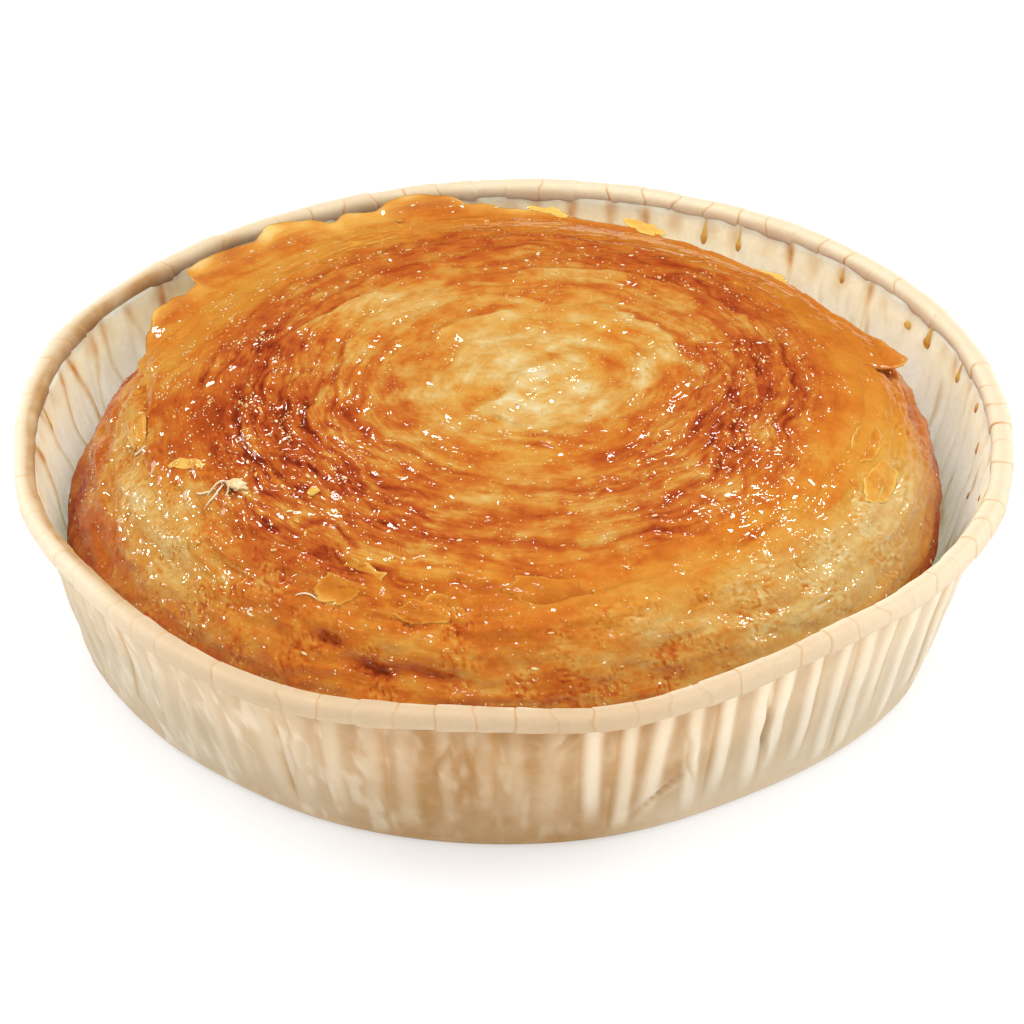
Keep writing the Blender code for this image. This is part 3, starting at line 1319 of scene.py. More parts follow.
@dataclass
class CaramelCrust:
    """The caramelised plate on top: coiled, glossy, and lipped out over the shoulder at the back."""

    form: PastryForm
    bake: Bake
    columns: int = 960
    spacing: float = 0.275
    coarsest: int = 30
    thickness: float = 0.45
    fine_reach: float = 42.5
    innermost: float = 1.0
    halving: float = 0.62
    probe: float = 0.2
    clearing: tuple[float, float] = (0.75, 1.8)
    smoothed: float = 0.75
    thinned: float = 0.4
    beneath: tuple[tuple[float, int, float], ...] = (
        (0.999, 960, 0.4), (0.99, 960, 0.8), (0.96, 480, 1.2), (0.85, 240, 2.0), (0.6, 120, 2.2),
        (0.3, 60, 2.2),
    )
    outline: Knots = (
        (0, 39.4), (7, 39.6), (10.4, 40.2), (11.6, 44.4), (13, 44.8), (15.5, 44.5), (19, 43.9),
        (24, 42.0), (32, 40.6), (40, 40.2),
        (50, 40.0), (57, 39.8), (64, 41.4), (70, 43.4), (78, 43.2), (84, 44.0), (90, 45.0),
        (96, 46.2), (100, 48.8), (104, 50.0), (107, 49.2), (110, 47.6), (114, 48.2), (117, 47.4),
        (120, 49.8), (125, 50.6), (127, 49.6), (129, 49.0), (134, 49.9), (137, 50.3), (140, 49.8),
        (142.5, 46.6), (145, 45.8), (147, 46.9), (150.5, 47.4), (155, 46.4), (159, 45.1), (168, 43.8),
        (182, 42.9), (200, 41.6), (225, 40.4), (240, 39.6), (256, 41.6), (266, 40.2), (275, 41.3),
        (290, 40.4), (310, 39.9), (320, 39.2), (345, 39.4),
    )
    shelf: Knots = (
        (0, 16.0), (7, 18.0), (10.2, 21.5), (11.4, 24.3), (16, 24.3), (24, 23.9), (40, 23.8),
        (60, 24.0), (80, 24.5), (96, 24.7), (122, 24.6), (140, 24.4), (152, 24.1), (162, 22.5), (180, 16.0),
    )
    thin_round: Knots = (
        (0, 1.0), (50, 1.0), (70, 1.4), (90, 1.8), (110, 3.2), (135, 4.0), (146, 2.4), (155, 1.4), (200, 1.0),
    )
    sink: Knots = (
        (0, -0.8), (9, -0.7), (11.6, 0.2), (90, 0.3), (150, 0.2), (172, -0.8), (238, -0.9), (300, -0.9),
    )
    sink_from: float = 0.96
    shelf_blend: float = 1.0
    ragged: float = 0.7
    seed: int = 5
    crown_points: Array | None = None
    crown_facing: Array | None = None

    def edge(self, bearing: Array) -> Array:
        """The plate's ragged edge: its distance from the axis at each bearing."""
        torn = SeededNoise(self.seed).layered(circled(9.0, np.radians(bearing), 0.0), 3)
        return round_curve(self.outline, bearing) + self.ragged * torn

    def _height(self, radius: Array, bearing: Array) -> tuple[Array, Array]:
        """Reads how high the plate lies.

        Args:
            radius: Distances from the axis.
            bearing: Bearings about the axis.

        Returns:
            Its height above the underside, and how much of it is the level shelf.
        """
        dome = self.form.height(radius)
        level = round_curve(self.shelf, bearing) - self.form.underside
        over = (level - dome) / self.shelf_blend
        share = 1.0 / (1.0 + np.exp(-np.clip(over, -30.0, 30.0)))
        return dome + self.shelf_blend * np.logaddexp(0.0, np.clip(over, -30.0, 30.0)), share

    def _ring(self, share: float, count: int) -> tuple[Array, Array, Array, Array, Array, Array]:
        """One ring of the plate's form.

        Args:
            share: How far out the ring lies, 1 at the edge.
            count: How many points the ring has.

        Returns:
            The ring's points, their facing, their distance from the axis, their path, how thin the
            plate is there and how much of it is the level shelf.
        """
        bearing = round_steps(count, FULL_TURN)
        edge = self.edge(bearing)
        radius = share * edge
        height, level = self._height(radius, bearing)
        inner, outer = (self._height(radius + step, bearing)[0] for step in (-self.probe, self.probe))
        slope = (inner - outer) / (2.0 * self.probe)
        angle = np.radians(bearing)
        facing = circled(slope, angle, 1.0)
        facing /= np.linalg.norm(facing, axis=1, keepdims=True)
        points = self.form.place(radius, height, bearing)
        sunk = round_curve(self.sink, bearing) * smoothstep(self.sink_from, 1.0, np.full(count, share))
        points[:, 2] += sunk
        patchy = 0.75 + 0.5 * SeededNoise(self.seed + 1).at(points / (5.0, 5.0, 99.0))
        thin = level * patchy * bell(edge - radius, round_curve(self.thin_round, bearing))
        thin = np.clip(thin, 0.0, 1.0)
        return points, facing, radius, radius + self.form.crown - self.form.height(radius), thin, level

    def _shares(self) -> list[tuple[float, int]]:
        """Lays out the top's rings.

        Returns:
            Each ring's share of the way out and its count of points, from the middle outwards.
        """
        rings: list[tuple[float, int]] = []
        outward, count = self.fine_reach, self.columns
        while outward > self.innermost:
            rings.append((outward / self.fine_reach, count))
            if count > self.coarsest and outward * math.tau / count < self.halving * self.spacing:
                count //= 2
            outward -= self.spacing
        return rings[::-1]

    def _cleared(self, thin: Array) -> Array:
        """How clear the caramel is where the plate is thin."""
        return self.clearing[0] * thin ** self.clearing[1]

    def build(self, material: Material) -> Piece:
        """Builds the plate, fine on its top and coarse beneath.

        Args:
            material: The plate's finish.

        Returns:
            The piece.
        """
        skin = RingSkin()
        tops = []
        for share, count in self._shares():
            points, facing, radius, path, thin, level = self._ring(share, count)
            baked = self.bake.read(points, radius, path, level)
            relief = baked.relief * (1.0 - self.smoothed * np.maximum(thin, level))
            points = points + facing * relief[:, None]
            skin.add(
                points, browning=baked.browning, amber=np.maximum(baked.amber, thin), glaze=1.0,
                thin=self._cleared(thin), wet=np.maximum(baked.wet, thin), fibrous=baked.fibrous,
            )
            tops.append((points, facing))
        for share, count, drop in self.beneath:
            points, facing, _, _, thin, _ = self._ring(share, count)
            points = points - facing * (drop * self.thickness * (1.0 - self.thinned * thin))[:, None]
            skin.add(
                points, browning=0.5, amber=0.8, wet=1.0, thin=self._cleared(thin), fibrous=0.0, glaze=1.0
            )
        self.crown_points = np.concatenate([part[0] for part in tops])
        self.crown_facing = np.concatenate([part[1] for part in tops])
        return make_piece(skin.mesh("caramel_crust"), material)


@dataclass
class PastryFlank:
    """The dough below the plate: the layered shoulder and the browned side."""

    form: PastryForm
    bake: Bake
    crust: CaramelCrust
    columns: int = 1024
    first_radius: float = 35.0
    spacing: float = 0.3
    side_steps: int = 16
    samples: int = 1200
    side_relief: float = 0.35
    below_span: float = 4.0
    glaze_span: tuple[float, float] = (2.0, 8.0)
    tucked: tuple[tuple[float, int], ...] = ((20.0, 4), (28.0, 4), (32.0, 2))
    tuck: float = 1.2
    settled: float = 0.12
    shown_points: Array | None = None
    shown_facing: Array | None = None

    def _section(self) -> list[tuple[float, float, int]]:
        """Lays out the flank's rings.

        Returns:
            Each ring's (radius, height, count), from under the plate down to the foot.
        """
        form, full = self.form, self.columns
        fine = np.linspace(self.first_radius, form.radius, self.samples)
        run = along_section(fine, form.height(fine))
        steps = int(run[-1] / self.spacing)
        wanted = np.linspace(0.0, run[-1], steps + 1)
        section = [(radius, form.height(radius), full // part) for radius, part in self.tucked]
        section += [(float(r), float(form.height(r)), full) for r in np.interp(wanted, run, fine)]
        lean = (form.radius - form.foot_radius) / form.waist
        for height in np.linspace(form.waist, form.foot_bevel, self.side_steps)[1:]:
            section.append((form.foot_radius + lean * height, float(height), full // 2))
        foot = form.foot_radius - form.foot_bevel
        return section + [(foot, 0.0, full // 4), (0.6 * foot, 0.0, full // 8)]

    def build(self, material: Material) -> Piece:
        """Builds the flank, tucked under the plate where the plate covers it.

        Args:
            material: The flank's finish.

        Returns:
            The piece.
        """
        form = self.form
        skin = RingSkin()
        section = self._section()
        radii = np.array([part[0] for part in section])
        heights = np.array([part[1] for part in section])
        path = along_section(radii, heights) + radii[0] + form.crown - heights[0]
        out = np.gradient(-heights) + 1e-9
        up = np.gradient(radii)
        length = np.hypot(out, up)
        shown: list[tuple[Array, Array]] = []
        for k, (radius, height, count) in enumerate(section):
            bearing = round_steps(count, FULL_TURN)
            away, level = np.full(count, radius), np.full(count, height)
            points = form.place(away, level, bearing)
            facing = circled(out[k], np.radians(bearing), up[k]) / length[k]
            baked = self.bake.read(points, away, np.full(count, path[k]))
            free = smoothstep(-0.3, 0.0, round_curve(self.crust.sink, bearing))
            hidden = smoothstep(0.9 - 0.9 * free, 3.5 - free, self.crust.edge(bearing) - radius)
            below = smoothstep(form.waist, form.waist + self.below_span, level)
            glaze = smoothstep(*(form.waist + part for part in self.glaze_span), level)
            kept = self.side_relief + (1.0 - self.side_relief) * below
            relief = baked.relief * kept - self.tuck * hidden - self.settled
            if height <= 0.0:
                relief = np.zeros(count)
            raised = points + facing * relief[:, None]
            skin.add(
                raised, browning=self._browned(baked, points, below), amber=baked.amber * below,
                wet=baked.wet * below, thin=0.0, fibrous=baked.fibrous, glaze=glaze,
            )
            bare = (hidden <= 0.0) & (height > form.waist)
            shown.append((raised[bare], facing[bare]))
        self.shown_points = np.concatenate([part[0] for part in shown])
        self.shown_facing = np.concatenate([part[1] for part in shown])
        return make_piece(skin.mesh("dough_flank"), material, "pastry")

    def _browned(self, baked: Skin, points: Array, below: Array) -> Array:
        """Deepens the browning to fibrous brown down the side.

        Args:
            baked: The skin.
            points: Points on the form.
            below: 1 above the waist and 0 down the side.

        Returns:
            The browning at each point.
        """
        noise = SeededNoise(23)
        upright = points / (0.9, 0.9, 9.0)
        fibre = 0.66 + 0.20 * noise.layered(upright, 2) + 0.10 * noise.at(points / (6.0, 6.0, 1.6))
        return np.clip(baked.browning * below + fibre * (1.0 - below), 0.0, 1.0)


@dataclass
class SugarAndGlintBeads:
    """Half-melted sugar: beads scattered over the plate and the shoulder, thick along the turns, their pale
    colour partly standing in for glints as painted highlights.
    """

    form: PastryForm
    crust: CaramelCrust
    flank: PastryFlank
    on_crust: int = 2000
    on_flank: int = 700
    large_share: float = 0.12
    small: tuple[float, float] = (0.055, 0.12)
    large: tuple[float, float] = (0.11, 0.19)
    stretch: tuple[tuple[float, float], ...] = ((0.9, 2.4), (0.8, 1.1), (0.55, 0.8))
    tints: tuple[tuple[float, ...], tuple[float, ...]] = ((0.0, 0.3, 0.65, 1.0), (0.3, 0.3, 0.25, 0.15))
    wander: float = 0.35
    perch: float = 0.25
    strewn: Weave = Weave(0.0, 7.0, 1.3, 2)
    seed: int = 77
    thick: tuple[Patch, ...] = many(
        Patch,
        (175, 33, 42, 11, 1.3), (0, 23, 48, 6, 0.6), (320, 30, 30, 6, 0.1), (265, 32, 40, 8, 0.1),
        (214, 46, 34, 4, 1.5), (165, 46, 18, 4, 1.0), (285, 45, 30, 4, 0.5), (300, 9, 60, 4, 0.5),
        (90, 40, 45, 8, -0.35), (30, 39, 25, 5, -0.35),
    )

    def _chosen(self, points: Array, count: int, draw: np.random.Generator) -> Array:
        """Draws which of the points hold a bead.

        Args:
            points: Points that could hold a bead.
            count: How many beads there are.
            draw: The random numbers.

        Returns:
            The indices of the points that hold one.
        """
        noise = SeededNoise(self.seed)
        distance, bearing = self.form.from_coil(points)
        weight = 0.35 + sum(patch.share(distance, bearing) for patch in self.thick)
        plan = points * (1.0, 1.0, 0.0)
        lines = self.strewn.read(noise, plan, distance)
        weight = np.clip(weight, 0.02, None) * smoothstep(-0.3, 0.6, lines)
        weight *= smoothstep(-0.5, 0.5, noise.at(plan / 3.0)) + 0.05
        return draw.choice(len(points), count, replace=False, p=weight / weight.sum())

    @staticmethod
    def _ball(rounds: int) -> tuple[Array, Array]:
        """Makes a ball.

        Args:
            rounds: How many rounds an icosahedron is split.

        Returns:
            The ball's points and triangles.
        """
        ball = bmesh.new()
        bmesh.ops.create_icosphere(ball, subdivisions=rounds, radius=1.0)
        points = np.array([vertex.co for vertex in ball.verts])
        faces = np.array([[vertex.index for vertex in face.verts] for face in ball.faces])
        ball.free()
        return points, faces

    def _bead(self, shape: Array, size: float, place: Array, up: Array, draw: np.random.Generator) -> Array:
        """Stretches one bead roughly along the turns and sets it on the surface.

        Args:
            shape: The ball's points.
            size: The bead's half size.
            place: Where it sits.
            up: The way the surface faces there.
            draw: The random numbers.

        Returns:
            The bead's points.
        """
        stretch = np.array([draw.uniform(*span) for span in self.stretch])
        outward = (place - (*self.form.coil_centre, 0.0)) * (1.0, 1.0, 0.0)
        outward /= max(1.0, float(np.linalg.norm(outward)))
        side = np.cross(up, outward + self.wander * draw.normal(size=3))
        side /= np.linalg.norm(side)
        axes = np.stack([side, np.cross(up, side), up])
        return (shape * stretch * size) @ axes + place + up * self.perch * size

    def build(self, material: Material) -> Piece:
        """Builds all the beads as one piece.

        Args:
            material: The beads' finish.

        Returns:
            The piece.
        """
        draw = np.random.default_rng(self.seed)
        spots, facings = [], []
        for points, facing, count in (
            (self.crust.crown_points, self.crust.crown_facing, self.on_crust),
            (self.flank.shown_points, self.flank.shown_facing, self.on_flank),
        ):
            chosen = self._chosen(points, count, draw)
            spots.append(points[chosen])
            facings.append(facing[chosen])
        balls = {False: self._ball(1), True: self._ball(2)}
        all_points, all_faces, tints = [], [], []
        start = 0
        for place, up in zip(np.concatenate(spots), np.concatenate(facings)):
            big = bool(draw.random() < self.large_share)
            shape, faces = balls[big]
            size = draw.uniform(*(self.large if big else self.small))
            all_points.append(self._bead(shape, size, place, up, draw))
            all_faces.append(faces + start)
            tint, odds = self.tints
            tints.append(np.full(len(shape), draw.choice(tint, p=odds)))
            start += len(shape)
        faces = np.concatenate(all_faces).tolist()
        values = {"tint": np.concatenate(tints)}
        mesh = make_mesh("sugar_and_glint_beads", np.concatenate(all_points), faces, values)
        return make_piece(mesh, material)


@dataclass(frozen=True)
class Flake:
    """A thin sheet of caramel: its middle, half sizes, turn in degrees, ragged outline and colour.

    Its crown is how far its middle bulges, and its rest the height it lies at where nothing is
    under it, or 0 where it lies on the crust.
    """

    middle: tuple[float, float]
    long: float
    wide: float
    turn: float
    ragged: float
    thin: float
    crown: float = 0.0
    rest: float = 0.0


@dataclass
class Ground:
    """The baked surface that loose pieces lie on."""

    points: Array

    def height(self, plan: Array, nearest: int = 8) -> Array:
        """Reads the surface's height, averaged over its nearest points.

        Args:
            plan: Places as (x, y).
            nearest: How many points are averaged.

        Returns:
            The height under each place.
        """
        middle = plan.mean(0)
        reach = np.abs(plan - middle).max() + 1.5
        near = self.points[(np.abs(self.points[:, :2] - middle) < reach).all(1)]
        gaps = ((near[None, :, :2] - plan[:, None, :]) ** 2).sum(2)
        found = np.argpartition(gaps, nearest, axis=1)[:, :nearest]
        return near[found, 2].mean(1)


@dataclass
class CaramelFlakes:
    """Loose sheets of caramel on the crust and at its edge: flaps, shards, a blister and a drop."""

    ground: Ground
    columns: int = 72
    rings: int = 12
    lift: float = 0.10
    thickness: float = 0.3
    ripple: tuple[float, float] = (0.04, 1.6)
    edge_gain: float = 0.3
    seed: int = 61
    flakes: tuple[Flake, ...] = many(
        Flake,
        ((-17.6, -33.7), 3.6, 1.9, -5, 0.36, 0.45), ((-9.2, -38.0), 3.0, 1.3, 0, 0.34, 0.35),
        ((3.6, -36.9), 4.8, 1.6, -5, 0.22, 0.2), ((39.2, -7.6), 3.8, 1.6, 74, 0.18, 0.5),
        ((40.4, -12.9), 4.2, 1.3, 68, 0.2, 0.66, 0.05), ((-41.7, -0.3), 4.3, 1.1, 97, 0.2, 0.62, 0.7),
        ((-35.6, -11.4), 2.6, 0.7, -32, 0.3, 0.75), ((29.6, 31.6), 3.2, 1.0, -28, 0.35, 0.95, 0.0, 23.9),
        ((15.8, 42.4), 2.7, 1.1, -36, 0.4, 0.95, 0.0, 24.2),
        ((4.3, 45.8), 2.6, 1.1, -22, 0.4, 0.95, 0.0, 24.5), ((-12.7, 43.7), 0.6, 0.35, 95, 0.05, 0.6, 0.4),
        ((-21.5, -21.0), 0.7, 0.5, 20, 0.1, 0.95, 0.35),
    )

    def build(self, material: Material) -> Piece:
        """Builds all the flakes as one piece."""
        skins = [self._sheet(flake, index) for index, flake in enumerate(self.flakes)]
        return make_piece(joined_mesh("caramel_flakes", skins), material)

    def _sheet(self, flake: Flake, index: int) -> RingSkin:
        """Lays one flake down and closes it beneath.

        Args:
            flake: The flake.
            index: Its place in the list, which seeds its outline.

        Returns:
            The flake's skin.
        """
        noise = SeededNoise(self.seed + index)
        angle = round_steps(self.columns, math.tau)
        wavy = 1.0 + flake.ragged * noise.layered(circled(1.8, angle, 0.0), 3)
        across, along = flake.long * wavy * np.cos(angle), flake.wide * wavy * np.sin(angle)
        outline = np.stack(spun(across, along, flake.turn), 1)
        shares = np.linspace(0.0, 1.0, self.rings + 1)[1:]
        tops = []
        for share in shares:
            plan = np.array(flake.middle) + share * outline
            level = np.full(self.columns, flake.rest) if flake.rest else self.ground.height(plan)
            rise, length = self.ripple
            ripple = rise * noise.layered(np.column_stack([plan / length, np.zeros(self.columns)]), 2)
            crown = flake.crown * math.sqrt(1.0 - 0.98 * share * share)
            edge = 0.5 + 0.5 * math.sqrt(max(0.0, 1.0 - share**8))
            height = level + self.lift * edge + ripple + crown
            tops.append(np.column_stack([plan, height]))
        skin = RingSkin()
        for share, points in zip(shares, tops):
            edge = bell(np.full(self.columns, share - 0.97), 0.1)
            skin.add(points, thin=flake.thin + self.edge_gain * edge)
        for share, points in reversed(list(zip(shares, tops))[::3]):
            beneath = points - (0.0, 0.0, self.thickness)
            skin.add(beneath, thin=flake.thin)
        return skin


@dataclass(frozen=True)
class Thread:
    """A hair of pulled sugar: where it starts, its bearing, length, bend and how high it arches."""

    start: tuple[float, float]
    bearing: float
    length: float
    bend: float
    arch: float


@dataclass
class PaleBits:
    """The pale bits on the crust: a crumb of bare dough and a few hairs of pulled sugar."""

    ground: Ground
    crumb_middle: tuple[float, float] = (-29.9, -17.6)
    crumb_size: tuple[float, float, float] = (1.15, 0.8, 0.55)
    crumb_turn: float = 150.0
    crumb_lift: float = 0.2
    crumb_columns: int = 48
    crumb_rings: tuple[float, float, int] = (8.0, 172.0, 22)
    hair_radius: float = 0.11
    hair_sides: int = 8
    hair_steps: int = 24
    seed: int = 83
    threads: tuple[Thread, ...] = many(
        Thread,
        ((-33.6, -19.0), 48, 3.4, 30, 0.25), ((-33.2, -17.6), 20, 3.0, -35, 0.3),
        ((-31.2, -18.6), 95, 2.4, 40, 0.2), ((-34.4, -16.4), -15, 2.2, 60, 0.2),
        ((-41.8, -4.6), 15, 1.9, 80, 0.2), ((-21.0, -34.6), 160, 2.6, 25, 0.15),
    )

    def build(self, material: Material) -> Piece:
        """Builds the crumb and the hairs as one piece."""
        skins = [self._crumb()] + [self._hair(thread) for thread in self.threads]
        return make_piece(joined_mesh("pale_bits", skins), material)

    def _crumb(self) -> RingSkin:
        """Makes a craggy lump of dough, with its foot in the crust.

        Returns:
            The lump's skin.
        """
        noise = SeededNoise(self.seed)
        skin = RingSkin()
        angle = round_steps(self.crumb_columns, math.tau)
        across, along = self.crumb_middle
        level = float(self.ground.height(np.array([self.crumb_middle, self.crumb_middle]))[0])
        for polar in np.linspace(*self.crumb_rings):
            lean = math.radians(polar)
            ball = circled(math.sin(lean), angle, math.cos(lean))
            crag = 1.0 + 0.35 * noise.layered(ball * 1.5, 3)
            lump = ball * crag[:, None] * self.crumb_size
            x, y = spun(lump[:, 0], lump[:, 1], self.crumb_turn)
            points = np.stack([x + across, y + along, lump[:, 2] + level + self.crumb_lift], 1)
            skin.add(points, tint=0.35 + 0.4 * (crag - 1.0))
        return skin

    def _hair(self, thread: Thread) -> RingSkin:
        """Makes one hair: a thin bent tube that arches off the crust.

        Args:
            thread: The hair.

        Returns:
            The hair's skin.
        """
        share = np.linspace(0.0, 1.0, self.hair_steps)
        turn = np.radians(thread.bearing + thread.bend * (share - 0.5) * 2.0)
        step = thread.length / (self.hair_steps - 1)
        x = thread.start[0] + np.concatenate([[0.0], np.cumsum(step * np.cos(turn))[:-1]])
        y = thread.start[1] + np.concatenate([[0.0], np.cumsum(step * np.sin(turn))[:-1]])
        rise = thread.arch * np.sin(math.pi * share) + 0.5 * self.hair_radius
        path = np.column_stack([x, y, self.ground.height(np.column_stack([x, y]), 12) + rise])
        skin = RingSkin()
        angle = round_steps(self.hair_sides, math.tau)
        for k, spot in enumerate(path):
            ahead = path[min(k + 1, len(path) - 1)] - path[max(k - 1, 0)]
            ahead /= np.linalg.norm(ahead)
            side = np.cross(ahead, (0.0, 0.0, 1.0))
            side /= np.linalg.norm(side)
            up = np.cross(side, ahead)
            radius = self.hair_radius * (0.35 + 0.65 * math.sin(math.pi * share[k]) ** 0.5)
            ring = spot + radius * (np.cos(angle)[:, None] * up + np.sin(angle)[:, None] * side)
            skin.add(ring, tint=0.0)
        return skin


# ---------------------------------------------------------------- the paper case


@dataclass(frozen=True)
class Bulge:
    """A place where the thin paper is pushed out of round: its bearing, half width and push."""

    bearing: float
    width: float
    push: float

    def out(self, bearing: Array) -> Array:
        """How far it pushes the paper outwards at each bearing."""
        return self.push * bell(turned_from(bearing, self.bearing), self.width)


@dataclass(frozen=True)
class Dent:
    """A crumple in the outer wall: where it is, how long and wide, its lean and its depth."""

    bearing: float
    height: float
    long: float
    wide: float
    lean: float
    depth: float


class WallFace(Enum):
    """The two faces of the paper."""

    INNER = "inner"
    OUTER = "outer"


@dataclass
class CaseForm:
    """The paper case's overall form, as its solid has it, with the pleats pressed into it."""

    rim_radius: float = 56.0
    roll_radius: float = 1.35
    height: float = 23.6
    base_radius: float = 47.2
    wall_top: float = 53.8
    wall_curve: tuple[float, float] = (0.3421, -0.000981)
    paper: float = 0.4
    floor: float = 0.6
    corner: float = 1.0
    pleats: int = 84
    seed: int = 31
    rim_bulges: tuple[Bulge, ...] = many(
        Bulge,
        (117, 14, -0.5), (155, 10, 0.6), (183, 9, -0.4), (211, 12, -0.8), (245, 14, 1.5), (280, 9, 1.3),
        (309, 14, -1.7), (343, 8, 0.4),
    )
    foot_bulges: tuple[Bulge, ...] = many(
        Bulge,
        (190, 13, 1.3), (228, 12, -0.5), (303, 16, -1.0), (335, 10, 0.5),
    )
    dents: tuple[Dent, ...] = many(
        Dent,
        (262.0, 15.0, 3.2, 0.5, 0.35, 0.45), (265.0, 14.5, 2.4, 0.5, -0.3, 0.4),
        (291.5, 12.5, 4.5, 0.45, -0.22, 0.3), (288.5, 6.5, 2.6, 0.6, 0.9, 0.35),
        (276.0, 18.0, 2.0, 0.5, 0.4, 0.35), (303.0, 12.0, 5.0, 0.4, -0.15, 0.45),
        (226.0, 15.0, 4.0, 0.5, 0.1, 0.35), (243.0, 14.0, 4.0, 0.5, 0.1, 0.35),
        (212.0, 16.0, 4.0, 0.5, 0.1, 0.45),
    )
    ridge_round: Knots = (
        (0, 0.8), (60, 0.8), (120, 0.7), (180, 0.5), (205, 0.35), (232, 0.32), (250, 0.45),
        (262, 0.3), (273, 0.3), (279, 0.85), (300, 0.95), (330, 0.9),
    )
    lean_round: Knots = (
        (0, 0.1), (150, -0.3), (190, -0.9), (225, -0.75), (250, -0.3), (270, 0.0), (300, 0.35), (330, 0.2),
    )
    winding: float = 0.3
    crest_power: int = 3
    crest_height: float = 0.5
    fold_away: float = 1.35
    fold_width: float = 0.055
    sharp_from: float = 0.45
    groove: float = 0.22
    set_back: float = 0.2
    flush: tuple[float, float] = (19.5, 22.0)
    wound_round: Knots = ((0, 0.6), (60, 0.4), (100, 0.5), (130, 1.0), (200, 1.0), (240, 0.4), (320, 0.5))

    def __post_init__(self) -> None:
        """Draws how each pleat was pressed."""
        draw = np.random.default_rng(self.seed)
        count = self.pleats
        self.shift = draw.uniform(-0.16, 0.16, count)
        self.wide = draw.uniform(0.19, 0.31, count)
        self.deep = draw.uniform(0.45, 1.0, count)
        self.lean = draw.uniform(-0.12, 0.12, count)
        self.foot = draw.uniform(3.5, 11.5, count)
        self.side = draw.choice([-1.0, 1.0], count)
        self.sharp = draw.uniform(0.0, 1.0, count) ** 1.6
        self.sway = draw.uniform(-0.10, 0.10, count)
        self.stain = draw.uniform(0.1, 1.0, count) * (draw.random(count) > 0.2)
        self.tick = draw.uniform(0.35, 1.0, count)
        self.proud = draw.uniform(-0.07, 0.07, count)
        self.tilt = draw.uniform(-0.10, 0.10, count)
        self.bow = draw.uniform(-0.12, 0.12, count)

    def wall_radius(self, height: Array) -> Array:
        """The outer wall's radius at a height, before its pleats."""
        straight, bend = self.wall_curve
        return self.base_radius + straight * height + bend * height**2

    def inner_radius(self, height: Array) -> Array:
        """The inner face's radius at a height: it runs up flush into the roll."""
        return self.wall_radius(height) - self.paper - 0.45 * smoothstep(14.0, 21.8, height)

    def bulged(self, bearing: Array, height: Array) -> Array:
        """How far the wall is pushed out of round, from its foot's bulges up to its rim's."""
        rim, foot = (sum(b.out(bearing) for b in group) for group in (self.rim_bulges, self.foot_bulges))
        return rim * (height / self.height) + foot * (1.0 - height / self.height)

    def pleated(self, bearing: Array, height: Array, face: WallFace) -> tuple[Array, Array, Array]:
        """Reads the pleats at places on the wall.

        Args:
            bearing: Bearing of each place.
            height: Height of each place.
            face: The face of the paper that is read.

        Returns:
            The outward push, how much of a paler ridge there is (partly painted highlight on the crests), and
            how much of a crease: caramel stain on the inner face, painted shade along each sharp fold on the
            outer.
        """
        along = bearing * self.pleats / FULL_TURN
        push, ridge, crease = np.zeros_like(along), np.zeros_like(along), np.zeros_like(along)
        level = height / self.height - 0.85
        leaning = round_curve(self.lean_round, bearing)
        strength = round_curve(self.ridge_round, bearing)
        for step in (-1, 0, 1, 2):
            index = np.floor(along).astype(int) + step
            own = index % self.pleats
            bent = self.sway[own] * np.sin(4.2 * level + own)
            middle = index + self.shift[own] - (self.lean[own] + leaning) * level + bent
            away = along - middle
            rise = smoothstep(0.15, 1.0, height / self.foot[own])
            crest = np.exp(-np.abs(away / self.wide[own]) ** self.crest_power) * rise * strength
            # The crests' paler colour is partly dry paper and partly painted highlight.
            ridge += crest * (0.35 + 0.65 * self.deep[own])
            push += self.crest_height * self.deep[own] * crest
            if face is WallFace.OUTER:
                # Outside, a darker line along one side of each sharp fold: painted shade.
                fold = away - self.side[own] * self.fold_away * self.wide[own]
                sharp = np.where(self.sharp[own] > self.sharp_from, self.sharp[own], 0.0)
                line = bell(fold, self.fold_width) * sharp * rise
            else:
                winding = self.winding * round_curve(self.wound_round, bearing)
                away = away + winding * np.sin(7.0 * level + 2.3 * own)
                flared = 0.07 + 0.07 * smoothstep(14.0, 21.5, height)
                line = bell(away, flared) * self.stain[own] * rise
            crease += line
            push -= self.groove * line
        push = push - self.set_back
        if face is WallFace.INNER:
            push = push * (1.0 - 0.85 * smoothstep(*self.flush, height))
        return push, np.clip(ridge, 0.0, 1.0), np.clip(crease, 0.0, 1.0)

    def dented(self, bearing: Array, height: Array) -> tuple[Array, Array]:
        """Reads the crumples, each a soft ridge beside a groove.

        Args:
            bearing: Bearing of each place.
            height: Height of each place.

        Returns:
            The outward push, and how much of a crease there is: a darker line in each crumple's groove, as
            painted shade.
        """
        total, lines = np.zeros_like(bearing), np.zeros_like(bearing)
        for dent in self.dents:
            across = turned_from(bearing, dent.bearing) * math.tau * self.wall_top / FULL_TURN
            up = height - dent.height
            side = across - dent.lean * up - 0.25 * np.sin(up)
            reach = bell(up, dent.long)
            ridge, groove = bell(side - dent.wide, dent.wide), bell(side + dent.wide, dent.wide)
            total += dent.depth * reach * (ridge - groove)
            # A darker line in each crumple's groove: painted shade.
            lines += reach * bell(side + 0.7 * dent.wide, 0.22)
        return total, lines


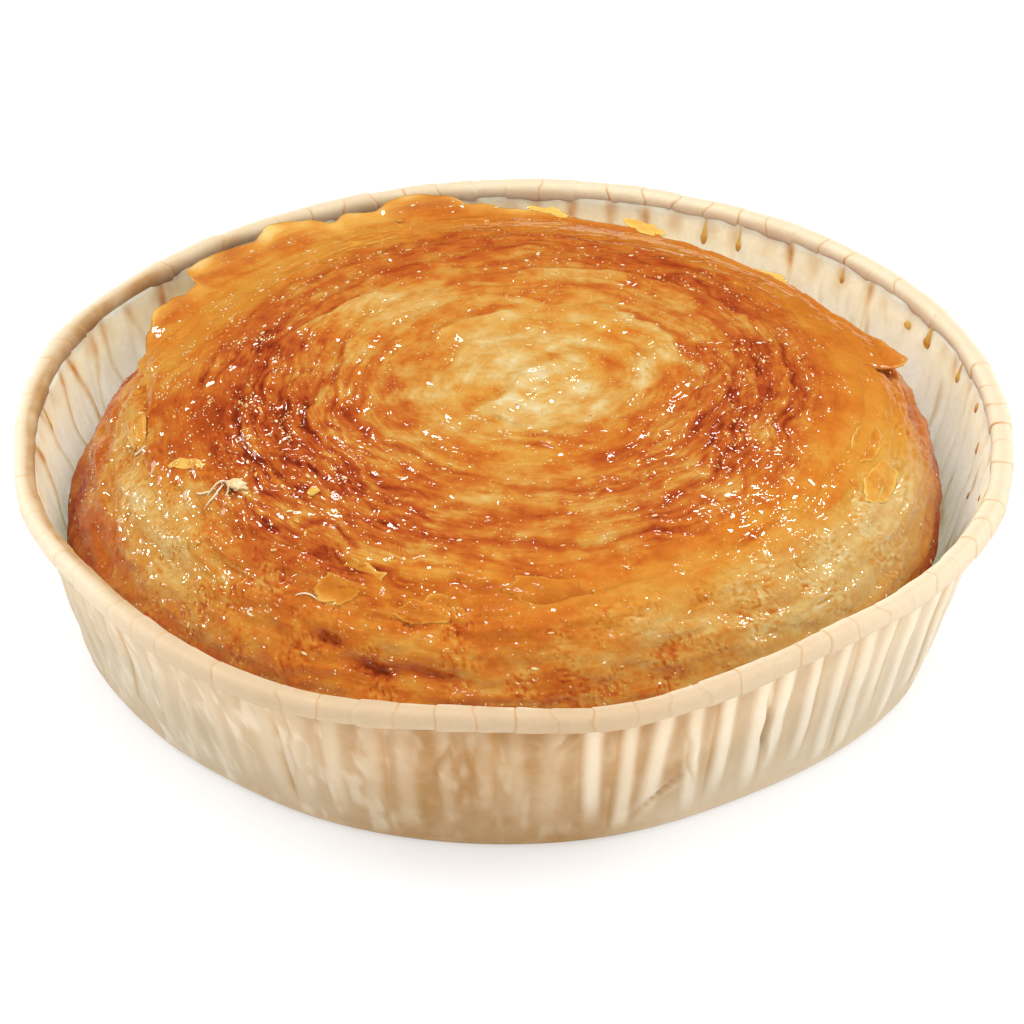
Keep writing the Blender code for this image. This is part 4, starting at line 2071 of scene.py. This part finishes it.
@dataclass
class PaperWall:
    """The cup of thin pressed paper: a flat floor and a pleated wall that runs up into the roll."""

    form: CaseForm
    columns: int = 1344
    inner_rings: int = 24
    outer_rings: int = 31
    low_rings: int = 6
    low_top: float = 7.0
    fine_from: float = 7.7
    floor_rings: tuple[tuple[float, int], ...] = ((12.0, 168), (30.0, 336))
    base_rings: tuple[tuple[float, int], ...] = ((36.0, 336), (15.0, 168))
    corner_turns: tuple[float, ...] = (30.0, 60.0, 90.0)
    broad_crumple: tuple[float, tuple[float, float, float]] = (0.16, (5.0, 5.0, 9.0))
    fine_crumple: tuple[float, tuple[float, float, float]] = (0.07, (1.8, 1.8, 4.0))
    shadow_width: float = 1.6
    streak_share: float = 0.5
    crease_share: float = 0.5
    ridge_share: float = 0.95
    seed: int = 47
    stained_round: Knots = (
        (0, 0.6), (30, 0.8), (60, 1.0), (95, 0.9), (140, 1.0), (180, 1.0), (215, 0.9), (250, 0.4),
        (320, 0.4),
    )
    inner_soak: Knots = (
        (0, 0.06), (45, 0.12), (90, 0.25), (140, 0.22), (180, 0.22), (215, 0.15), (300, 0.2), (335, 0.08),
    )
    streaked_round: Knots = (
        (0, 1.2), (30, 1.1), (60, 0.5), (100, 0.2), (180, 0.15), (250, 0.3), (320, 1.0),
    )
    crumpled_round: Knots = (
        (0, 0.2), (150, 0.4), (190, 0.7), (215, 1.0), (240, 0.8), (262, 0.4), (290, 0.15), (330, 0.1),
    )
    # Butter stain on the outer face by bearing. The heavy share round the front, bearings 243 to 300, also
    # darkens that face as painted shade.
    outer_soak: Knots = (
        (0, 0.0), (90, 0.3), (180, 0.2), (225, 0.2), (243, 0.5), (258, 1.1), (285, 1.1),
        (300, 0.5), (325, 0.0),
    )
    pale_foot: Knots = ((0, 0.7), (60, 0.3), (180, 0.3), (240, 0.1), (278, 0.1), (292, 0.8), (330, 0.8))

    def _crumple(self, flat: Array) -> Array:
        """Reads the paper's soft unevenness.

        Args:
            flat: Points of the plain cup.

        Returns:
            The outward push at each point.
        """
        noise = SeededNoise(self.seed)
        waves = (self.broad_crumple, self.fine_crumple)
        return sum(size * noise.at(flat / length) for size, length in waves)

    def inner_face(self, bearing: Array, height: Array) -> Array:
        """Reads where the wall's inner face is.

        Args:
            bearing: Bearing of each place.
            height: Height of each place.

        Returns:
            The inner face's distance from the axis.
        """
        radius = self.form.inner_radius(height)
        angle = np.radians(bearing)
        flat = circled(radius, angle, height)
        push = self.form.pleated(bearing, height, WallFace.INNER)[0] + self.form.dented(bearing, height)[0]
        return radius + self.form.bulged(bearing, height) + push + self._crumple(flat)

    def _ring(self, skin: RingSkin, radius: float, height: float, count: int, face: WallFace) -> None:
        """Adds one ring of the paper to its skin.

        Args:
            skin: The skin.
            radius: The ring's radius on the plain cup.
            height: Its height.
            count: Its count of points.
            face: The face of the paper that it is on.
        """
        form = self.form
        noise = SeededNoise(self.seed)
        bearing = round_steps(count, FULL_TURN)
        angle = np.radians(bearing)
        level = np.full(count, height)
        push, ridge, crease = form.pleated(bearing, level, face)
        dent, line = form.dented(bearing, level)
        below_roll = form.height - 2.0 * form.roll_radius
        walled = float(smoothstep(form.floor, form.floor + form.corner, np.array(height)))
        walled *= float(radius > form.base_radius - 2.0 * form.corner)
        flat = circled(radius, angle, height)
        crumple = self._crumple(flat) * (1.0 + 1.3 * round_curve(self.crumpled_round, bearing))
        reach = radius + form.bulged(bearing, level) * smoothstep(0.0, form.base_radius, np.array(radius))
        reach = reach + walled * (push + crumple + dent)
        points = circled(reach, angle, height)
        # The band just under the roll, where the roll shades the wall, takes extra tan below as painted
        # shade.
        under = bell(np.full(count, height - below_roll), self.shadow_width)
        low = float(1.0 - smoothstep(0.0, 15.0, np.array(height)))
        blots = smoothstep(0.1, 0.8, noise.layered(flat / (3.0, 3.0, 4.0) + 40.0, 2))
        if face is WallFace.INNER:
            stained = round_curve(self.stained_round, bearing)
            # Inside: butter stain, much heavier just under the roll as painted shade, and darker towards the
            # bottom.
            soaked = round_curve(self.inner_soak, bearing) * (0.45 + 1.2 * under) + 0.3 * low + 0.06 * blots
            streak = smoothstep(0.0, 0.6, noise.layered(flat / (2.2, 2.2, 9.0) + 90.0, 2)) * (1.0 - ridge)
            streak = streak * smoothstep(3.0, 9.0, level) * (1.0 - smoothstep(16.0, 20.5, level))
            soaked = soaked + self.streak_share * streak * round_curve(self.streaked_round, bearing)
            # Creases and crests just under the roll take more crease colour: painted shade under the roll, on
            # top of caramel stain.
            crease = crease * stained * (0.55 + 0.45 * under) + 0.35 * ridge * stained * under
            ridge = np.zeros(count)
        else:
            soaking = round_curve(self.outer_soak, bearing)
            # Outside: butter stain, with painted shade under the roll. The heavy front share of outer_soak is
            # painted shade on the front face as well as stain.
            soaked = soaking * (0.8 + 0.2 * blots) + 0.1 * np.minimum(soaking, 1.0) * low + 0.2 * under
            pale = round_curve(self.pale_foot, bearing) * (1.0 - smoothstep(2.0, 10.0, level))
            soaked = soaked * (1.0 - pale)
            blotch = smoothstep(-0.1, 0.7, noise.layered(flat / (1.7, 1.7, 6.0) + 60.0, 2))
            ridge = np.maximum(ridge, 0.75 * blotch * round_curve(self.crumpled_round, bearing))
            # The lines along the outer folds and in the crumples' grooves are darkened: painted shade.
            crease = self.crease_share * np.clip(crease + 0.9 * line, 0.0, 1.0)
        # The inner face takes the paler inner colour, which is painted light. ridge marks the paler crests,
        # partly painted highlight.
        skin.add(
            points, ridge=self.ridge_share * ridge * walled, inner=1.0 if face is WallFace.INNER else 0.0,
            soaked=np.clip(soaked, 0.0, 1.0), crease=np.clip(crease * walled, 0.0, 1.0),
        )

    def build(self, material: Material) -> Piece:
        """Builds the cup, from its floor's middle up inside, down outside and in beneath.

        Args:
            material: The paper.

        Returns:
            The piece.
        """
        form = self.form
        skin = RingSkin()
        full, half = self.columns, self.columns // 2
        top = form.height - form.roll_radius
        inner_foot = form.base_radius - form.paper - form.corner
        for radius, count in (*self.floor_rings, (inner_foot, half)):
            self._ring(skin, radius, form.floor, count, WallFace.INNER)
        for height in np.linspace(form.floor + form.corner, self.low_top, self.low_rings):
            self._ring(skin, float(form.inner_radius(height)), float(height), half, WallFace.INNER)
        for height in np.linspace(self.fine_from, top, self.inner_rings):
            self._ring(skin, float(form.inner_radius(height)), float(height), full, WallFace.INNER)
        for height in np.linspace(top, form.corner, self.outer_rings):
            self._ring(skin, float(form.wall_radius(height)), float(height), full, WallFace.OUTER)
        for degrees in self.corner_turns:
            turn = math.radians(degrees)
            radius = form.base_radius - form.corner + form.corner * math.cos(turn)
            self._ring(skin, radius, form.corner * (1.0 - math.sin(turn)), half, WallFace.OUTER)
        for radius, count in self.base_rings:
            self._ring(skin, radius, 0.0, count, WallFace.OUTER)
        return make_piece(skin.mesh("paper_wall"), material, "paper_case")


@dataclass(frozen=True)
class Drip:
    """A run of caramel on the paper: its bearing, height, half width, half length, tail and colour."""

    bearing: float
    height: float
    wide: float
    long: float
    tail: float
    thin: float


@dataclass
class CaramelDrips:
    """Caramel that ran down the inside of the paper and set there in drops."""

    wall: PaperWall
    columns: int = 40
    rings: int = 8
    proud: float = 0.2
    sunk: float = 0.12
    back: tuple[float, ...] = (0.9, 0.4)
    drips: tuple[Drip, ...] = many(
        Drip,
        (64.1, 19.9, 0.42, 1.0, 1.4, 0.5), (59.2, 19.9, 0.38, 0.8, 1.6, 0.55),
        (30.0, 20.1, 0.6, 0.5, 0.0, 0.9), (25.2, 20.2, 0.75, 0.8, 2.6, 0.4),
        (16.0, 20.4, 0.5, 0.7, 1.2, 0.5), (8.0, 20.7, 0.6, 0.55, 0.0, 0.1), (3.5, 17.7, 0.4, 0.5, 0.6, 0.2),
        (359.2, 14.2, 0.35, 0.5, 0.0, 0.2), (350.5, 19.0, 0.35, 0.45, 0.0, 0.15),
        (43.0, 20.6, 0.35, 0.6, 1.0, 0.5), (171.0, 19.5, 0.4, 0.9, 1.5, 0.4),
        (196.0, 18.0, 0.35, 0.7, 1.0, 0.3),
    )

    def build(self, material: Material) -> Piece:
        """Builds all the drops as one piece."""
        skins = [self._drop(drip) for drip in self.drips]
        return make_piece(joined_mesh("caramel_drips", skins), material)

    def _drop(self, drip: Drip) -> RingSkin:
        """Makes one drop, round below and drawn out above, with its back in the paper.

        Args:
            drip: The drop.

        Returns:
            The drop's skin.
        """
        skin = RingSkin()
        angle = round_steps(self.columns, math.tau)
        upper = np.maximum(np.sin(angle), 0.0)
        across = drip.wide * np.cos(angle) * (1.0 - 0.75 * upper * min(1.0, drip.tail))
        up = drip.long * np.sin(angle) + drip.tail * upper**3
        shares = np.linspace(0.0, 1.0, self.rings + 1)[1:]
        steps = [(share, self.proud * math.sqrt(1.0 - share * share)) for share in shares]
        for share, rise in steps + [(share, -self.sunk) for share in self.back]:
            height = drip.height + share * up
            turn = np.degrees(share * across / self.wall.form.wall_top)
            bearing = drip.bearing - turn
            radius = self.wall.inner_face(bearing, height) - rise * min(1.0, drip.wide / 0.5)
            points = circled(radius, np.radians(bearing), height)
            skin.add(points, thin=np.clip(drip.thin + 0.25 + 0.4 * upper, 0.0, 1.0))
        return skin


@dataclass
class RolledRim:
    """The wall's top edge, rolled outwards into a flattened tube with a fold at every pleat."""

    form: CaseForm
    across_pleat: tuple[float, ...] = (
        0.0, 0.02, 0.045, 0.08, 0.14, 0.24, 0.36, 0.48, 0.60, 0.72, 0.82, 0.89, 0.935, 0.965, 0.985,
    )
    section_points: int = 26
    squareness: float = 0.72
    seed: int = 53
    soak_round: Knots = (
        (0, 0.0), (60, 0.0), (90, 0.05), (120, 0.1), (150, 0.1), (180, 0.1), (205, 0.2), (225, 0.4),
        (250, 0.48), (275, 0.48), (300, 0.25), (325, 0.0),
    )
    inside_round: Knots = (
        (0, 0.2), (40, 0.2), (80, 0.15), (120, 0.45), (150, 0.95), (180, 1.4), (205, 1.35), (225, 0.4),
        (300, 0.1), (335, 0.15),
    )
    # How much the roll's outer face is whitened at each bearing: painted highlight.
    outer_highlight_round: Knots = (
        (0, 0.5), (90, 0.3), (130, 0.5), (160, 0.75), (205, 0.75), (235, 0.2), (300, 0.1), (335, 0.4),
    )
    inset: float = 0.06
    flattened: float = 0.97
    lap_width: float = 0.035
    lap_rise: float = 0.07
    fold_width: float = 0.028
    fold_sink: float = 0.07
    fold_from: float = 0.5
    fine_waves: tuple[float, float] = (0.06, 2.5)
    broad_waves: tuple[float, float] = (0.1, 9.0)

    def _segments(self, bearing: Array, turn: float) -> tuple[Array, Array]:
        """Reads the overlaps of the folded paper.

        Args:
            bearing: Bearing of each place round the rim.
            turn: Where the places are round the tube, in radians.

        Returns:
            How far the tube swells, and how much of a fold line there is.
        """
        form = self.form
        along = bearing * form.pleats / FULL_TURN
        nearest = np.round(along).astype(int) % form.pleats
        slant = form.tilt[nearest] * math.sin(turn) + form.bow[nearest] * math.cos(2.0 * turn)
        along = along + slant * bell(along - np.round(along), 0.35)
        index = np.floor(along).astype(int) % form.pleats
        before = (index - 1) % form.pleats
        inside = along - np.floor(along)
        eased = smoothstep(0.0, self.lap_width, inside)
        own = form.proud[index] + self.lap_rise * form.tick[index] * (0.5 - inside)
        last = form.proud[before] - 0.5 * self.lap_rise * form.tick[before]
        near = np.minimum(inside, 1.0 - inside)
        strength = np.where(inside < 0.5, form.tick[index], form.tick[(index + 1) % form.pleats])
        fold = bell(near, self.fold_width) * np.where(strength > self.fold_from, strength, 0.0)
        return last * (1.0 - eased) + own * eased - self.fold_sink * fold, fold

    def build(self, material: Material) -> Piece:
        """Builds the roll as a closed tube.

        Args:
            material: The paper.

        Returns:
            The piece.
        """
        form = self.form
        noise = SeededNoise(self.seed)
        middle = form.rim_radius - form.roll_radius
        level = form.height - form.roll_radius
        pleat = FULL_TURN / form.pleats
        bearing = (np.arange(form.pleats)[:, None] + np.array(self.across_pleat)[None, :]).ravel() * pleat
        angle = np.radians(bearing)
        skin = RingSkin(looped=True)
        for k in range(self.section_points):
            turn = math.pi - math.tau * k / self.section_points
            out = math.copysign(abs(math.cos(turn)) ** self.squareness, math.cos(turn))
            up = math.copysign(abs(math.sin(turn)) ** self.squareness, math.sin(turn))
            swell, fold = self._segments(bearing, turn)
            ring = circled(middle, angle, up)
            for size, length in (self.fine_waves, self.broad_waves):
                swell = swell + size * noise.at(ring / length)
            radius = middle + (form.roll_radius - self.inset + swell) * out * self.flattened
            radius = radius + form.bulged(bearing, np.full(len(bearing), form.height))
            height = level + (form.roll_radius - self.inset + swell) * up
            points = circled(radius, angle, height)
            inside = float(smoothstep(-0.35, 0.75, np.array(-out)))
            beneath = float(smoothstep(0.2, 1.0, np.array(-up)))
            blots = 0.5 + 0.5 * noise.at(ring / 6.0 + 20.0)
            inner_soak = round_curve(self.inside_round, bearing) * inside * (0.5 + 0.9 * blots)
            # beneath lays tan on the roll's underside: painted shade.
            soaked = 0.85 * round_curve(self.soak_round, bearing) + inner_soak + 0.35 * beneath
            outer = float(smoothstep(-0.1, 0.8, np.array(out)))
            # The outer face takes the pale ridge colour, which is painted highlight. The inside takes part of
            # the paler inner colour, which is painted light.
            skin.add(
                points, ridge=outer * round_curve(self.outer_highlight_round, bearing), inner=0.4 * inside,
                soaked=np.clip(soaked, 0.0, 1.0), crease=np.clip(fold * (0.45 + 0.5 * inside), 0.0, 1.0),
            )
        return make_piece(skin.mesh("rolled_rim"), material, "paper_case")


# ---------------------------------------------------------------- the studio and the view


class LightUse(Enum):
    """What a lamp is for: filling the scene with light, or only the sparkle in the glaze."""

    FILL = "fill"
    SPARKLE = "sparkle"


@dataclass(frozen=True)
class SoftLight:
    """One softbox: what it is for, where it hangs, its size and its power."""

    name: str
    use: LightUse
    azimuth: float
    elevation: float
    distance: float
    size: float
    power: float

    def hang(self, aim: Vector) -> None:
        """Hangs the light.

        Args:
            aim: The point that it faces, in metres.
        """
        lamp = bpy.data.lights.new(self.name, "AREA")
        lamp.shape = "DISK"
        lamp.size = self.size
        lamp.energy = self.power
        holder = bpy.data.objects.new(self.name, lamp)
        bpy.context.scene.collection.objects.link(holder)
        turn, rise = math.radians(self.azimuth), math.radians(self.elevation)
        away = Vector((math.cos(turn) * math.cos(rise), math.sin(turn) * math.cos(rise), math.sin(rise)))
        holder.location = aim + away * self.distance
        holder.rotation_euler = away.to_track_quat("Z", "Y").to_euler()
        holder.visible_diffuse = self.use is LightUse.FILL
        holder.visible_glossy = self.use is LightUse.SPARKLE


@dataclass
class Studio:
    """A plain pale floor under soft light, with small lamps that pick out the glaze."""

    floor_size: float = 6.0
    sky: float = 1.1
    aim: tuple[float, float, float] = (0.0, 0.0, 0.015)
    lights: tuple[SoftLight, ...] = many(
        SoftLight,
        ("left_softbox", LightUse.FILL, 165.0, 60.0, 0.9, 0.6, 1.4),
        ("left_low", LightUse.FILL, 182.0, 40.0, 0.9, 0.6, 1.3),
        ("right_softbox", LightUse.FILL, 352.0, 54.0, 0.9, 0.6, 2.1),
        ("right_low", LightUse.FILL, 322.0, 16.0, 0.9, 0.5, 1.3),
        ("back_softbox", LightUse.FILL, 95.0, 50.0, 0.9, 0.6, 1.1),
        ("sparkle_left", LightUse.SPARKLE, 148.0, 22.0, 0.8, 0.07, 1.0),
        ("sparkle_corner", LightUse.SPARKLE, 176.0, 33.0, 0.8, 0.05, 0.5),
        ("sparkle_right", LightUse.SPARKLE, 34.0, 50.0, 0.8, 0.07, 0.7),
        ("sparkle_right_low", LightUse.SPARKLE, 12.0, 39.0, 0.8, 0.06, 0.5),
        ("sparkle_top", LightUse.SPARKLE, 230.0, 82.0, 0.8, 0.05, 0.28),
        ("sparkle_back_left", LightUse.SPARKLE, 112.0, 46.0, 0.8, 0.08, 0.5),
        ("sparkle_back_right", LightUse.SPARKLE, 68.0, 44.0, 0.8, 0.07, 0.4),
        ("sheen_left", LightUse.SPARKLE, 148.0, 12.0, 0.8, 0.14, 0.2),
    )

    def build(self) -> None:
        """Lays the floor and lights the scene."""
        half = self.floor_size / 2.0
        mesh = bpy.data.meshes.new("studio_floor")
        corners = [(-half, -half, 0.0), (half, -half, 0.0), (half, half, 0.0), (-half, half, 0.0)]
        mesh.from_pydata(corners, [], [(0, 1, 2, 3)])
        mesh.materials.append(PaleFloor().make())
        floor = bpy.data.objects.new("studio_floor", mesh)
        bpy.context.scene.collection.objects.link(floor)
        floor.visible_glossy = False
        world = bpy.data.worlds.new("studio_sky")
        world.use_nodes = True
        background = world.node_tree.nodes["Background"]
        background.inputs["Strength"].default_value = self.sky
        background.inputs["Color"].default_value = (1.0, 1.0, 1.0, 1.0)
        world.cycles_visibility.glossy = False
        bpy.context.scene.world = world
        for light in self.lights:
            light.hang(Vector(self.aim))
        bpy.context.scene.view_settings.view_transform = "Standard"


@dataclass(frozen=True)
class ViewPoint:
    """The camera: where it looks, from where, and through which lens."""

    target: tuple[float, float, float] = (-0.01, 0.0, 12.32)
    elevation: float = 33.06
    distance: float = 720.0
    roll: float = -0.73
    lens: float = 225.1
    sensor: float = 36.0
    nearest: float = 0.01

    def build(self) -> None:
        """Makes the camera and gives it to the scene."""
        rise, tilt = math.radians(self.elevation), math.radians(self.roll)
        right = Vector((1.0, 0.0, 0.0))
        up = Vector((0.0, math.sin(rise), math.cos(rise)))
        back = Vector((0.0, -math.cos(rise), math.sin(rise)))
        across = right * math.cos(tilt) + up * math.sin(tilt)
        upward = up * math.cos(tilt) - right * math.sin(tilt)
        lens = bpy.data.cameras.new("view_camera")
        lens.lens = self.lens
        lens.sensor_width = self.sensor
        lens.clip_start = self.nearest
        camera = bpy.data.objects.new("view_camera", lens)
        bpy.context.scene.collection.objects.link(camera)
        turn = Matrix((across, upward, back)).transposed().to_4x4()
        spot = (Vector(self.target) + back * self.distance) * MM
        camera.matrix_world = Matrix.Translation(spot) @ turn
        bpy.context.scene.camera = camera


# ---------------------------------------------------------------- making it all


def report(piece: Piece) -> None:
    """Logs a piece that has been built, with its triangles."""
    sides = sum(len(face.vertices) - 2 for face in piece.data.polygons)
    log.info("built %s: %d triangles", piece.name, sides)


def main() -> None:
    """Builds the kouign amann, its studio and its view."""
    logging.basicConfig(level=logging.INFO, format="%(name)s: %(message)s")
    form = PastryForm()
    bake = Bake(form)
    top_finish = CaramelisedDough("caramel_crust", Gloss.GLAZED, form.coil_centre).make()
    flank_finish = CaramelisedDough(
        "dough_flank", Gloss.BUTTERED, form.centre, blotch=0.06, strand=(0.03, 0.06), streak=(5.0, 0.45),
        coat_grain=Grain(720.0, 1.5),
    ).make()
    crust = CaramelCrust(form, bake)
    report(crust.build(top_finish))
    flank = PastryFlank(form, bake, crust)
    report(flank.build(flank_finish))
    report(SugarAndGlintBeads(form, crust, flank).build(SugarGlint().make()))
    ground = Ground(np.concatenate([crust.crown_points, flank.shown_points]))
    amber_sugar = AmberSugar().make()
    report(CaramelFlakes(ground).build(amber_sugar))
    report(PaleBits(ground).build(PaleCrumb().make()))
    case = CaseForm()
    paper = BakingPaper("baking_paper").make()
    wall = PaperWall(case)
    report(wall.build(paper))
    report(CaramelDrips(wall).build(amber_sugar))
    report(RolledRim(case).build(paper))
    Studio().build()
    ViewPoint().build()


if __name__ == "__main__":
    main()
